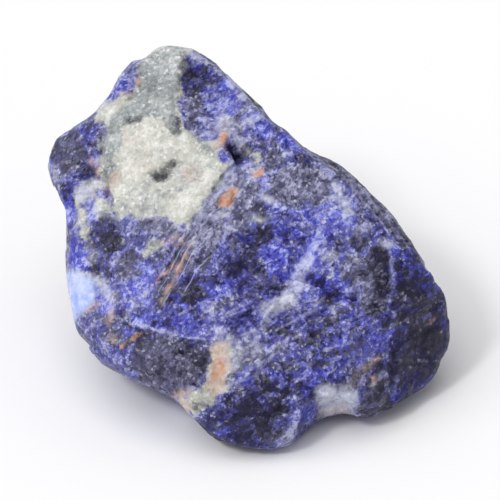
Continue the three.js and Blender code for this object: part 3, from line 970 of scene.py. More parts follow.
BURIED_MINERALS = {
    Mineral.CALCITE: (
        # It goes on over the top and down the back, and there are two smaller pockets of it.
        Lump((-9.0, 21.0, 10.0), (5.5, 6.0, 9.0)),
        Lump((11.0, 20.0, -7.0), (4.5, 5.0, 3.5)),
        Lump((24.0, 6.0, 0.5), (3.0, 3.5, 2.5)),
        *scattered(58, 5, 0.5, 1.8),
    ),
    Mineral.MILK: scattered(57, 8, 0.6, 2.2),
    Mineral.FLESH: (Seam((-6.0, 19.0, -4.0), Side(300, 42), 0.6, 6.0), *scattered(56, 8, 0.4, 1.6)),
    Mineral.SLATE: (
        *scattered(51, 46, 1.2, 4.6),
        Lump((-9.0, 21.0, 12.0), (5.5, 6.0, 3.0)),
        Lump((-14.0, 17.0, -5.0), (5.0, 5.0, 4.5)),
        Lump((20.0, 12.0, 5.0), (4.0, 4.0, 3.5)),
        Lump((-23.0, 6.0, -6.0), (4.0, 4.5, 3.5)),
    ),
    Mineral.DARK: (
        *scattered(52, 40, 0.8, 3.4),
        Lump((3.0, 21.0, 2.0), (6.0, 5.0, 5.5)),
        Lump((19.0, 12.0, -8.0), (6.0, 6.0, 4.5)),
        Lump((-20.0, 12.0, 3.0), (4.0, 4.0, 4.0)),
        Lump((-6.0, 20.0, -10.0), (5.0, 5.0, 4.0)),
    ),
    Mineral.VIVID: (
        *scattered(53, 26, 0.8, 3.2),
        Lump((13.0, 17.0, 5.0), (4.5, 5.0, 3.5)),
        Lump((-18.0, 15.0, 9.0), (3.5, 4.0, 3.0)),
        Lump((2.0, 21.0, -7.0), (4.0, 4.0, 2.5)),
        Lump((23.0, 0.0, -8.0), (3.0, 4.0, 3.0)),
    ),
    Mineral.FELDSPAR: (
        Lump((7.5, 20.5, -5.5), (1.8, 3.0, 0.9)),
        Lump((-3.5, 21.0, 3.5), (1.6, 3.0, 0.8)),
        Lump((17.5, 14.0, 0.0), (1.2, 2.0, 1.5)),
        Lump((-16.5, 16.0, 2.0), (0.9, 2.5, 1.6)),
        Seam((-6.0, 19.0, -4.0), Side(300, 42), 0.3, 5.0),
        *scattered(55, 10, 0.3, 1.2),
    ),
    Mineral.VEIL: (
        *scattered(54, 22, 0.8, 3.0),
        Seam((2.0, 18.0, 0.0), Side(35, 50), 1.5, 17.0),
        Seam((18.0, 8.0, 2.0), Side(160, 15), 1.2, 12.0),
        Seam((-17.0, 10.0, -3.0), Side(10, -40), 1.1, 11.0),
    ),
}

FRONT_RELIEF = (
    Ledge(((-11.5, -2.0), (-8.2, 3.0), (-3.0, 9.9), (2.2, 16.2)), 0.25, 2.5),
    Ledge(((-12.6, -6.1), (-9.4, -0.6), (-6.1, 4.2), (-3.2, 9.7)), 0.22, 0.8),
    Ledge(((-10.6, -5.5), (-7.7, -0.6), (-4.8, 4.2), (-2.3, 9.4)), 0.22, 0.8),
    Ledge(((-9.0, -5.5), (-6.1, -0.6), (-3.5, 4.2), (-1.0, 9.7)), 0.22, 0.8),
    Ledge(((-16.5, -8.5), (-13.1, -9.9), (-9.9, -10.1), (-6.9, -11.5), (-3.5, -10.8)), 0.5, 3.0),
    Ledge(((9.7, -10.0), (5.8, -10.8), (1.6, -13.2), (-1.4, -17.4)), -0.35, 2.0),
    Ledge(((17.2, -6.8), (17.5, -4.5), (17.7, -1.7), (16.5, 0.9)), -0.4, 2.0),
    Ledge(((21.0, -1.3), (17.7, 2.3), (13.9, 7.1), (9.7, 11.3)), -0.25, 1.2),
    Ledge(((19.0, 1.3), (15.2, 6.1), (11.6, 9.8)), -0.2, 1.0),
    Dent(((-2.1, 13.0), (-1.5, 11.8)), 0.8, 1.4),
    Dent(((-11.5, 9.1), (-10.6, 9.5)), 0.6, 1.3),
    Dent(((-9.4, 10.6),), 0.5, 0.4),
    Dent(((-15.0, 16.1), (-13.9, 16.4)), 0.6, 0.5),
    Dent(((-9.1, 15.7),), 0.9, 0.35),
    Dent(((-20.3, 9.5),), 1.2, 0.5),
    Dent(((6.6, -3.2), (8.3, -3.9), (9.6, -4.9), (12.9, -6.1)), 0.9, 0.35),
    Dent(((2.3, -7.6), (4.8, -6.0), (6.8, -3.1), (8.7, 1.6)), 0.9, -0.15),
    Dent(((-17.9, 5.2), (-17.7, 8.6), (-19.0, 11.4), (-18.4, 14.0)), 0.7, 0.35),
)


@dataclass
class Skin:
    """A mesh's vertices as arrays, in millimetres, with what it takes to smooth values over them.

    Attributes:
        mesh: The mesh.
    """

    mesh: bpy.types.Mesh
    places: Points = field(init=False)
    normals: Points = field(init=False)
    ends: Points = field(init=False)

    def __post_init__(self) -> None:
        """Read the mesh."""
        ends = np.empty(len(self.mesh.edges) * 2, dtype=np.int32)
        self.mesh.edges.foreach_get("vertices", ends)
        self.ends = ends.reshape(-1, 2)
        self.read()

    def read(self) -> None:
        """Read the places and the normals of the vertices."""
        count = len(self.mesh.vertices)
        flat = np.empty(count * 3, dtype=np.float32)
        self.mesh.vertices.foreach_get("co", flat)
        self.places = flat.reshape(-1, 3).astype(float) / MM
        self.mesh.vertex_normals.foreach_get("vector", flat)
        self.normals = flat.reshape(-1, 3).astype(float)

    def write(self) -> None:
        """Put the places back into the mesh, and read the normals that they give."""
        self.mesh.vertices.foreach_set("co", (self.places * MM).astype(np.float32).ravel())
        self.mesh.update()
        self.read()

    def lift(self, heights: Points) -> None:
        """Move every vertex along its normal.

        Args:
            heights: How far, in millimetres.
        """
        self.places += self.normals * heights[:, None]
        self.write()

    def smoothed(self, values: Points, rounds: int) -> Points:
        """Average values with their neighbours'.

        Args:
            values: One row for each vertex.
            rounds: How many times to do it.

        Returns:
            The smoothed values.
        """
        first, second = self.ends.T
        count = len(values)
        neighbours = np.bincount(first, minlength=count) + np.bincount(second, minlength=count)
        columns = values.reshape(count, -1).astype(float)
        for _ in range(rounds):
            total = np.empty_like(columns)
            for i, column in enumerate(columns.T):
                total[:, i] = np.bincount(first, column[second], count)
                total[:, i] += np.bincount(second, column[first], count)
            columns = (columns + total / neighbours[:, None]) / 2
        return columns.reshape(values.shape)

    def proud(self, rounds: int) -> Points:
        """Give how far each vertex stands out from its places smoothed so many times, in millimetres."""
        soft = self.smoothed(self.places, rounds)
        return np.sum((self.places - soft) * self.normals, axis=1)

    def store(self, name: str, values: Points) -> None:
        """Keep a value for each vertex on the mesh, for its material to read."""
        attribute = self.mesh.attributes.new(name, "FLOAT", "POINT")
        attribute.data.foreach_set("value", values.astype(np.float32))


class Mixer:
    """A material's node tree, and the steps that a finish is mixed from."""

    RIDGE_FALL = 4.0  # how fast a ridge falls away from its top

    def __init__(self, name: str) -> None:
        """Start a material.

        Args:
            name: Its name.
        """
        self.material = bpy.data.materials.new(name)
        self.material.use_nodes = True
        self.tree = self.material.node_tree
        self.surface = self.tree.nodes["Principled BSDF"]

    def add(self, kind: str, **settings: object) -> bpy.types.Node:
        """Add a node.

        Args:
            kind: The end of the node type's name, after ShaderNode.
            **settings: The node's own settings, by name.

        Returns:
            The node.
        """
        node = self.tree.nodes.new("ShaderNode" + kind)
        for name, value in settings.items():
            setattr(node, name, value)
        return node

    def feed(self, socket: Socket, value: object) -> None:
        """Link a socket to another's output, or set it to a plain value."""
        if isinstance(value, Socket):
            self.tree.links.new(value, socket)
        else:
            socket.default_value = value

    def math(self, operation: str, first: object, second: object = 0.0, clamp: bool = False) -> Socket:
        """Work out one number from two.

        Args:
            operation: The sum, as the node calls it.
            first: A number or a socket.
            second: A number or a socket.
            clamp: Whether to keep the result from 0 to 1.

        Returns:
            The result's socket.
        """
        node = self.add("Math", operation=operation, use_clamp=clamp)
        self.feed(node.inputs[0], first)
        self.feed(node.inputs[1], second)
        return node.outputs[0]

    def plus(self, total: object, *others: object) -> Socket:
        """Add up numbers or sockets."""
        for other in others:
            total = self.math("ADD", total, other)
        return total

    def less(self, first: object, second: object) -> Socket:
        """Take the second from the first."""
        return self.math("SUBTRACT", first, second)

    def times(self, first: object, second: object) -> Socket:
        """Multiply the first by the second."""
        return self.math("MULTIPLY", first, second)

    def most(self, first: object, second: object) -> Socket:
        """Give the greater of the two."""
        return self.math("MAXIMUM", first, second)

    def fade(self, value: object, low: float, high: float) -> Socket:
        """Turn a value into a share that runs smoothly from 0 at low to 1 at high."""
        node = self.add("MapRange", interpolation_type="SMOOTHSTEP")
        self.feed(node.inputs["Value"], value)
        node.inputs["From Min"].default_value = low
        node.inputs["From Max"].default_value = high
        return node.outputs["Result"]

    def scaled(self, value: object, low: float, high: float, to_low: float, to_high: float) -> Socket:
        """Run a value that goes from low to high over to_low to to_high instead."""
        node = self.add("MapRange")
        self.feed(node.inputs["Value"], value)
        for name, number in zip(("From Min", "From Max", "To Min", "To Max"), (low, high, to_low, to_high)):
            node.inputs[name].default_value = number
        return node.outputs["Result"]

    def spread(self, share: object, to_low: float, to_high: float) -> Socket:
        """Run a share from 0 to 1 over to_low to to_high instead."""
        return self.scaled(share, 0.0, 1.0, to_low, to_high)

    def blend(self, share: object, first: object, second: object) -> Socket:
        """Mix two colours: the first where the share is 0, and the second where it is 1."""
        node = self.add("Mix", data_type="RGBA")
        self.feed(node.inputs[0], share)
        self.feed(node.inputs[6], first)
        self.feed(node.inputs[7], second)
        return node.outputs[2]

    def layered(self, colour: object, *layers: tuple[object, object]) -> Socket:
        """Lay colours over a first one, each given as its share and then the colour itself."""
        for share, over in layers:
            colour = self.blend(share, colour, over)
        return colour

    def level(self, share: object, first: object, second: object) -> Socket:
        """Mix two numbers: the first where the share is 0, and the second where it is 1."""
        node = self.add("Mix", data_type="FLOAT")
        self.feed(node.inputs[0], share)
        self.feed(node.inputs[2], first)
        self.feed(node.inputs[3], second)
        return node.outputs[0]

    def ramp(self, value: object, places: tuple[float, ...], colours: tuple[Colour, ...]) -> Socket:
        """Turn a value into a colour through a row of colours, each with its place from 0 to 1."""
        node = self.add("ValToRGB")
        while len(node.color_ramp.elements) < len(places):
            node.color_ramp.elements.new(1.0)
        for element, place, colour in zip(node.color_ramp.elements, places, colours):
            element.position = place
            element.color = colour
        self.feed(node.inputs[0], value)
        return node.outputs[0]

    def stored(self, name: str) -> Socket:
        """Read a value that the mesh holds."""
        return self.add("Attribute", attribute_name=name).outputs["Fac"]

    def millimetres(self) -> Socket:
        """Give the place on the object, in millimetres."""
        return self.stretched(self.add("TexCoord").outputs["Object"], 1 / MM)

    def stretched(self, vector: object, scale: object) -> Socket:
        """Multiply a vector by a number, each a socket or plain."""
        node = self.add("VectorMath", operation="SCALE")
        self.feed(node.inputs[0], vector)
        self.feed(node.inputs["Scale"], scale)
        return node.outputs[0]

    def reach(self, vector: object, along: object) -> Socket:
        """Give how far a vector goes along another."""
        node = self.add("VectorMath", operation="DOT_PRODUCT")
        self.feed(node.inputs[0], vector)
        self.feed(node.inputs[1], along)
        return node.outputs["Value"]

    def vector(self, operation: str, first: object, second: object) -> Socket:
        """Work out one vector from two, each a socket or three numbers."""
        node = self.add("VectorMath", operation=operation)
        self.feed(node.inputs[0], first)
        self.feed(node.inputs[1], second)
        return node.outputs[0]

    def squeezed(self, where: Socket, across: Points, keep: float) -> Socket:
        """Draw a pattern out along sheets that lie across a direction.

        Args:
            where: The place, in millimetres.
            across: The direction across the sheets.
            keep: How much of a distance along the sheets is kept: at 0.5, the pattern is twice as long.

        Returns:
            The place to read the pattern at.
        """
        rest = self.stretched(tuple(across * (1 - keep)), self.reach(where, tuple(across)))
        return self.vector("ADD", self.stretched(where, keep), rest)

    def ridges(self, where: object, size: float, detail: float, shift: float) -> Socket:
        """Give thin winding ridges, 1 on them and lower between. The arguments are as for noise."""
        swell = self.spread(self.noise(where, size, detail, 0.6, shift), -1.0, 1.0)
        fall = self.times(self.math("ABSOLUTE", swell), self.RIDGE_FALL)
        return self.math("SUBTRACT", 1.0, fall, clamp=True)

    def noise(
        self, where: object, size: float, detail: float = 3.0, rough: float = 0.55, shift: float = 0.0
    ) -> Socket:
        """Give noise from 0 to 1, about 0.5 on average.

        Args:
            where: The place, in millimetres.
            size: The size of its largest features, in millimetres.
            detail: How many finer layers it has.
            rough: How strong the finer layers are.
            shift: How far along X to move it, so that two of one size differ.

        Returns:
            The noise's socket.
        """
        node = self.add("TexNoise")
        self.feed(node.inputs["Vector"], self.vector("ADD", where, (shift, 0.0, 0.0)) if shift else where)
        node.inputs["Scale"].default_value = 1 / size
        node.inputs["Detail"].default_value = detail
        node.inputs["Roughness"].default_value = rough
        return node.outputs["Fac"]

    def warped(self, where: Socket, size: float, reach: float) -> Socket:
        """Stir a place about, so that what is laid out on it loses its evenness.

        Args:
            where: The place, in millimetres.
            size: The size of the swirls, in millimetres.
            reach: How far they carry it, in millimetres.

        Returns:
            The stirred place.
        """
        node = self.add("TexNoise")
        self.feed(node.inputs["Vector"], where)
        node.inputs["Scale"].default_value = 1 / size
        node.inputs["Detail"].default_value = 2.0
        stir = self.add("VectorMath", operation="MULTIPLY_ADD")
        self.feed(stir.inputs[0], self.vector("SUBTRACT", node.outputs["Color"], MIDDLE_DRAW))
        stir.inputs[1].default_value = (reach, reach, reach)
        self.feed(stir.inputs[2], where)
        return stir.outputs[0]

    def cells(self, where: object, size: float) -> bpy.types.Node:
        """Add a texture of cells of a size in millimetres."""
        node = self.add("TexVoronoi")
        self.feed(node.inputs["Vector"], where)
        node.inputs["Scale"].default_value = 1 / size
        return node

    def draws(self, cells: bpy.types.Node) -> tuple[Socket, ...]:
        """Give three numbers from 0 to 1 that are drawn anew for each cell."""
        node = self.add("SeparateColor")
        self.feed(node.inputs[0], cells.outputs["Color"])
        return tuple(node.outputs[:3])


@dataclass(frozen=True)
class Border:
    """How ragged the border of a mineral is.

    Attributes:
        rag: How far it wanders, in millimetres.
        soft: How wide its fade is, in millimetres.
        crumbly: How strong its finest raggedness is, from 0 to 1.
    """

    rag: float
    soft: float
    crumbly: float = 0.74


BORDERS = {
    Mineral.CALCITE: Border(0.9, 0.35, 0.6),
    Mineral.MILK: Border(0.7, 0.7),
    Mineral.CHIP: Border(0.5, 0.6),
    Mineral.FELDSPAR: Border(0.3, 0.2),
    Mineral.FLESH: Border(0.7, 0.6),
    Mineral.SLATE: Border(0.5, 0.25),
    Mineral.DARK: Border(1.1, 0.6),
    Mineral.VIVID: Border(0.9, 0.5),
    Mineral.VEIL: Border(0.7, 0.6),
    Mineral.THREAD: Border(0.22, 0.13),
    Mineral.SHEETED: Border(0.6, 0.6),
}


@dataclass(frozen=True)
class Makings:
    """What the stone's colour, gloss and relief are made from.

    Attributes:
        mix: The material's mixer.
        shares: The share of each mineral at each place.
        streaks: The place, drawn out along the rock's streaks.
        coarse: Grains of a millimetre or so.
        fine: Grains of half a millimetre.
        fine_place: The place that the fine grains are laid out on.
    """

    mix: Mixer
    shares: dict[Mineral, Socket]
    streaks: Socket
    coarse: bpy.types.Node
    fine: bpy.types.Node
    fine_place: Socket


@dataclass(frozen=True)
class StoneFinish:
    """The rough stone's colours, and how its minerals are laid out and catch the light.

    The traces are degrees up from the across direction that sheets and streaks run on the front face, and
    the dips are degrees that they lean back under it. Grains, gaps and the glow's reach are in millimetres.
    The stops are how light the rock is where it takes each of a row of colours.
    """

    black: Colour = screen(14, 8, 44)
    slate: Colour = screen(50, 48, 73)
    grey: Colour = screen(94, 93, 128)
    pale_grey: Colour = screen(174, 175, 206)
    navy: Colour = screen(15, 10, 68)
    royal: Colour = screen(54, 52, 132)
    azure: Colour = screen(94, 95, 184)
    lavender: Colour = screen(186, 188, 228)
    ink: Colour = screen(14, 9, 76)
    ultramarine: Colour = screen(42, 40, 158)
    cobalt: Colour = screen(84, 90, 214)
    sky: Colour = screen(172, 180, 242)
    cream_dark: Colour = screen(181, 182, 174)
    cream: Colour = screen(200, 200, 193)
    white: Colour = screen(227, 227, 221)
    smoky: Colour = screen(62, 67, 72)
    misty_dark: Colour = screen(102, 109, 115)
    misty: Colour = screen(148, 155, 160)
    misty_pale: Colour = screen(199, 204, 207)
    milk_dark: Colour = screen(160, 163, 194)
    milk: Colour = screen(200, 203, 222)
    milk_pale: Colour = screen(229, 231, 240)
    glass_blue: Colour = screen(150, 171, 235)
    glass_white: Colour = screen(200, 209, 238)
    # The colours of the painted glints and sparkles of highlight.
    painted_glint: Colour = screen(216, 217, 230)
    painted_sparkle: Colour = screen(246, 246, 244)
    orange: Colour = screen(208, 142, 108)
    peach: Colour = screen(204, 170, 148)
    pale_peach: Colour = screen(208, 190, 180)
    grey_stops: tuple[float, ...] = (0.30, 0.42, 0.56, 0.76)
    blue_stops: tuple[float, ...] = (0.28, 0.42, 0.58, 0.76)
    calcite_stops: tuple[float, ...] = (0.30, 0.46, 0.62)
    sheet_trace: float = 59.0
    sheet_dip: float = 22.0
    streak_trace: float = 27.0
    streak_dip: float = -30.0
    coarse_grain: float = 1.1
    fine_grain: float = 0.4
    sugar_grain: float = 0.45
    flake: float = 0.32
    relief_grain: float = 0.9
    sheet_gap: float = 0.42
    glow: float = 1.0
    glow_weight: float = 0.5
    glow_tint: tuple[float, ...] = (1.0, 1.0, 0.9)
    dull_roughness: tuple[float, float] = (0.36, 0.62)
    glassy_roughness: float = 0.18
    chip_roughness: float = 0.22
    ior: float = 1.43

    def across_sheets(self, trace: float, dip: float) -> Points:
        """Give the direction across the rock's sheets.

        Args:
            trace: Degrees up from the across direction that the sheets run on the front face.
            dip: Degrees that they lean back under it.

        Returns:
            The direction, of length 1.
        """
        turn = math.radians(trace)
        lean = math.radians(dip)
        across = math.sin(turn) * math.cos(lean)
        up = -math.cos(turn) * math.cos(lean)
        return np.array([across, up, math.sin(lean)]) @ FRONT.axes()

    def edge(self, mix: Mixer, mineral: Mineral, border: Border) -> Socket:
        """Give the share of a mineral at each place, with a ragged border.

        Args:
            mix: The material's mixer.
            mineral: The mineral.
            border: How ragged its border is.

        Returns:
            The share, from 0 to 1.
        """
        apart = 31.0 * (1 + list(Mineral).index(mineral))
        wander = mix.noise(mix.millimetres(), 1.6, 6.0, border.crumbly, shift=apart)
        off = mix.scaled(wander, 0.25, 0.75, -border.rag, border.rag)
        return mix.fade(mix.plus(mix.stored(mineral.value), off), -border.soft, border.soft)

    def gather(self) -> Makings:
        """Start the material, and lay out the minerals and the grains in it.

        Returns:
            What the rest of the finish is made from.
        """
        mix = Mixer("rough_sodalite")
        shares = {mineral: self.edge(mix, mineral, border) for mineral, border in BORDERS.items()}
        swirled = mix.warped(mix.millimetres(), 6.0, 2.4)
        sheets = mix.squeezed(swirled, self.across_sheets(self.sheet_trace, self.sheet_dip), 0.65)
        streaks = mix.squeezed(swirled, self.across_sheets(self.streak_trace, self.streak_dip), 0.4)
        coarse = mix.cells(mix.warped(streaks, 0.9, 0.8), self.coarse_grain)
        fine_place = mix.warped(sheets, 0.4, 0.3)
        return Makings(mix, shares, streaks, coarse, mix.cells(fine_place, self.fine_grain), fine_place)

    def flakes(self, mix: Mixer) -> tuple[Socket, ...]:
        """Give three numbers from 0 to 1 that are drawn anew for each small cleavage flake."""
        return mix.draws(mix.cells(mix.warped(mix.millimetres(), 0.25, 0.35), self.flake))

    def ground_tone(self, made: Makings) -> Socket:
        """Give how light the ground is: less in dark rock and where shade is painted on, and more in veils,
        by calcite and on proud edges, which are partly worn and partly given a painted edge highlight.

        Args:
            made: What the finish is made from.

        Returns:
            The lightness, from 0 to 1.
        """
        mix = made.mix
        slate = made.shares[Mineral.SLATE]
        veil = made.shares[Mineral.VEIL]
        smooth = mix.noise(made.streaks, 2.4, 8.0, 0.66)
        grainy = mix.noise(made.fine.outputs["Position"], 2.8, 8.0, 0.66)
        clouds = mix.spread(mix.level(0.6, smooth, grainy), 0.145, 0.835)
        sharp = mix.noise(mix.millimetres(), 0.43, 4.0, 0.88, shift=5.0)
        sharp = mix.scaled(sharp, 0.2, 0.8, -0.235, 0.225)
        calm = mix.spread(mix.math("ADD", slate, veil, clamp=True), 1.05, 0.58)
        wisps = mix.fade(mix.ridges(made.streaks, 3.0, 6.0, shift=12.0), 0.55, 0.95)
        # Lighter on proud edges: partly wear, partly a painted highlight where light would catch the edges.
        worn = mix.scaled(mix.stored("worn"), 0.1, 0.9, 0.0, 0.12)
        fringe = mix.fade(mix.stored(Mineral.CALCITE.value), -1.6, 0.0)
        murk = mix.noise(made.coarse.outputs["Position"], 1.8, 3.0, 0.6, shift=83.0)
        murk = mix.scaled(murk, 0.38, 0.62, 0.12, 0.27)
        tone = mix.plus(
            mix.level(mix.times(slate, 0.85), clouds, 0.47),
            mix.spread(mix.draws(made.fine)[0], -0.08, 0.07),
            mix.spread(mix.draws(made.coarse)[0], -0.055, 0.055),
            mix.times(sharp, calm),
            mix.times(mix.less(1.0, mix.times(slate, 0.8)), mix.plus(worn, mix.times(wisps, 0.06))),
            mix.times(veil, 0.15),
            mix.times(fringe, 0.09),
        )
        # Darker where the dark marks lie: dark rock, and the painted shade in pits, the crack, the recess by
        # the top and the right end.
        return mix.less(tone, mix.times(made.shares[Mineral.DARK], murk))

    def ground_hue(self, made: Makings) -> Socket:
        """Give how blue the ground is: more where it is vivid, and less in slate and dark rock.

        Args:
            made: What the finish is made from.

        Returns:
            The blueness, from 0 to 1.
        """
        mix = made.mix
        hue = mix.plus(
            mix.noise(made.coarse.outputs["Position"], 2.4, 6.0, 0.64, shift=57.0),
            mix.spread(mix.draws(made.fine)[1], -0.09, 0.09),
            mix.spread(mix.draws(made.coarse)[1], -0.04, 0.04),
            mix.times(made.shares[Mineral.VIVID], 0.22),
        )
        hue = mix.less(hue, mix.times(made.shares[Mineral.SLATE], 0.3))
        return mix.less(hue, mix.times(made.shares[Mineral.DARK], 0.03))

    def ground(self, made: Makings) -> Socket:
        """Mix the blue and grey ground, with a painted glint of highlight on a flake here and there.

        Args:
            made: What the finish is made from.

        Returns:
            Its colour.
        """
        mix = made.mix
        tone = self.ground_tone(made)
        greys = mix.ramp(tone, self.grey_stops, (self.black, self.slate, self.grey, self.pale_grey))
        blues = mix.ramp(tone, self.blue_stops, (self.navy, self.royal, self.azure, self.lavender))
        vivid = mix.ramp(tone, self.blue_stops, (self.ink, self.ultramarine, self.cobalt, self.sky))
        blues = mix.blend(mix.times(made.shares[Mineral.VIVID], 0.62), blues, vivid)
        # Painted glints: a pale highlight painted onto a flake here and there, stronger on lighter rock.
        painted_glints = mix.fade(self.flakes(mix)[0], 0.90, 0.97)
        painted_glints = mix.times(painted_glints, mix.scaled(tone, 0.28, 0.55, 0.0, 0.42))
        blueness = mix.fade(self.ground_hue(made), 0.33, 0.65)
        return mix.layered(greys, (blueness, blues), (painted_glints, self.painted_glint))

    def seams(self, made: Makings) -> Socket:
        """Give the share of the thin pale seams between the sheets, where they show edge on.

        Args:
            made: What the finish is made from.

        Returns:
            The share, from 0 to 1.
        """
        mix = made.mix
        across = self.across_sheets(self.sheet_trace, self.sheet_dip)
        stirred = mix.warped(mix.millimetres(), 9.0, 2.5)
        gap = mix.math("PINGPONG", mix.reach(stirred, tuple(across)), self.sheet_gap)
        present = mix.noise(mix.squeezed(stirred, across, 0.2), 1.2, 4.0, 0.65, shift=77.0)
        shown = mix.times(mix.fade(present, 0.44, 0.60), made.shares[Mineral.SHEETED])
        return mix.times(mix.fade(gap, 0.16, 0.02), shown)

    def calcite(self, made: Makings) -> Socket:
        """Mix the sugary cream calcite, which is grey and glassy where slate shows through it and smoky where
        dark marks lie (dark grains, and painted shade in its pits), with painted sparkles of highlight.

        Args:
            made: What the finish is made from.

        Returns:
            Its colour.
        """
        mix = made.mix
        where = mix.millimetres()
        sugar = mix.cells(mix.warped(where, 0.6, 0.4), self.sugar_grain)
        cloud = mix.noise(where, 2.6, 7.0, 0.64, shift=11.0)
        grainy = mix.noise(sugar.outputs["Position"], 2.6, 7.0, 0.64, shift=11.0)
        tone = mix.plus(
            mix.spread(mix.level(0.4, cloud, grainy), 0.09, 0.85),
            mix.spread(mix.draws(sugar)[0], -0.06, 0.06),
            mix.scaled(mix.noise(where, 0.5, 4.0, 0.85, shift=5.0), 0.2, 0.8, -0.14, 0.12),
            mix.scaled(mix.stored(Mineral.CALCITE.value), 0.0, 3.0, -0.06, 0.03),
            mix.times(made.shares[Mineral.VEIL], 0.12),
        )
        misty = mix.ramp(tone, self.calcite_stops, (self.misty_dark, self.misty, self.misty_pale))
        milky = mix.ramp(tone, self.calcite_stops, (self.milk_dark, self.milk, self.milk_pale))
        flakes = self.flakes(mix)
        return mix.layered(
            mix.ramp(tone, self.calcite_stops, (self.cream_dark, self.cream, self.white)),
            (mix.times(made.shares[Mineral.SLATE], 0.8), misty),
            # Smoky where dark marks lie on the calcite: dark grains, and painted shade in its pits.
            (mix.times(made.shares[Mineral.DARK], 0.8), self.smoky),
            # Painted sparkles: a white highlight painted onto some flakes.
            (mix.times(mix.fade(flakes[1], 0.88, 0.97), 0.5), self.painted_sparkle),
            (mix.times(mix.fade(flakes[2], 0.93, 0.99), 0.18), self.smoky),
            (made.shares[Mineral.MILK], milky),
        )

    def colour(self, made: Makings) -> Socket:
        """Lay the minerals over the ground, and paint shade into the hollows.

        Args:
            made: What the finish is made from.

        Returns:
            The stone's colour.
        """
        mix = made.mix
        shares = made.shares
        where = mix.millimetres()
        broken = mix.scaled(mix.noise(where, 1.2, 4.0, 0.7, shift=19.0), 0.40, 0.56, 0.1, 0.8)
        threads = mix.most(self.seams(made), mix.times(shares[Mineral.THREAD], broken))
        mottle = mix.fade(mix.noise(where, 0.9, 4.0, 0.7, shift=9.0), 0.35, 0.6)
        murky = mix.times(shares[Mineral.DARK], 0.55)
        clear = mix.fade(mix.noise(where, 2.2, 5.0, 0.65, shift=15.0), 0.35, 0.65)
        return mix.layered(
            self.ground(made),
            (mix.times(threads, 0.6), self.lavender),
            (mix.most(shares[Mineral.CALCITE], mix.times(shares[Mineral.MILK], 0.9)), self.calcite(made)),
            (mix.times(shares[Mineral.FLESH], 0.7), mix.blend(mottle, self.pale_peach, self.peach)),
            (
                mix.times(shares[Mineral.FELDSPAR], 0.85),
                mix.layered(self.peach, (mottle, self.orange), (murky, self.black)),
            ),
            (shares[Mineral.CHIP], mix.blend(clear, self.glass_blue, self.glass_white)),
            # Painted shade: the hollows of the skin darkened towards black.
            (mix.scaled(mix.stored("painted_hollow_shade"), 0.1, 0.9, 0.0, 0.5), self.black),
        )

    def tilted(self, mix: Mixer, place: Socket, cells: bpy.types.Node, steepness: float) -> Socket:
        """Give the height of small flat faces that each tilt their own way.

        Args:
            mix: The material's mixer.
            place: The place that the cells were laid out on.
            cells: The cells, one for each face.
            steepness: The steepest tilt, as a rise over a run.

        Returns:
            The height, in millimetres.
        """
        away = mix.vector("SUBTRACT", place, cells.outputs["Position"])
        slope = mix.vector("SUBTRACT", cells.outputs["Color"], MIDDLE_DRAW)
        return mix.times(mix.reach(away, slope), steepness)

    def relief(self, made: Makings) -> Socket:
        """Give the fine relief that is too small for the mesh, as a normal.

        Args:
            made: What the finish is made from.

        Returns:
            The bumped normal.
        """
        mix = made.mix
        where = mix.millimetres()
        lumps = mix.warped(where, 0.9, 0.5)
        height = mix.plus(
            self.tilted(mix, lumps, mix.cells(lumps, self.relief_grain), 0.35),
            self.tilted(mix, made.fine_place, made.fine, 0.7),
            mix.times(mix.noise(where, 0.4, 5.0, 0.65, shift=23.0), 0.10),
        )
        rough = mix.less(1.0, mix.times(made.shares[Mineral.CHIP], 0.85))
        node = mix.add("Bump")
        node.inputs["Strength"].default_value = 1.0
        node.inputs["Distance"].default_value = MM
        mix.feed(node.inputs["Height"], mix.times(height, rough))
        return node.outputs["Normal"]

    def gloss(self, made: Makings) -> Socket:
        """Give the roughness: mostly dull, with a glassy grain here and there.

        Args:
            made: What the finish is made from.

        Returns:
            The roughness.
        """
        mix = made.mix
        worn = mix.noise(mix.millimetres(), 0.8, 3.0, 0.6, shift=41.0)
        worn = mix.scaled(worn, 0.3, 0.7, *self.dull_roughness)
        glassy = mix.times(mix.fade(mix.draws(made.fine)[2], 0.78, 0.84), 0.8)
        dull = mix.level(glassy, worn, self.glassy_roughness)
        return mix.level(made.shares[Mineral.CHIP], dull, self.chip_roughness)

    def make(self) -> bpy.types.Material:
        """Build the material.

        Returns:
            The material.
        """
        made = self.gather()
        mix = made.mix
        inputs = mix.surface.inputs
        pale = mix.most(made.shares[Mineral.CALCITE], made.shares[Mineral.CHIP])
        pale = mix.most(pale, made.shares[Mineral.MILK])
        mix.feed(inputs["Base Color"], self.colour(made))
        mix.feed(inputs["Roughness"], self.gloss(made))
        mix.feed(inputs["Normal"], self.relief(made))
        mix.feed(inputs["Subsurface Weight"], mix.times(pale, self.glow_weight))
        inputs["Subsurface Radius"].default_value = self.glow_tint
        inputs["Subsurface Scale"].default_value = self.glow * MM
        inputs["IOR"].default_value = self.ior
        return mix.material


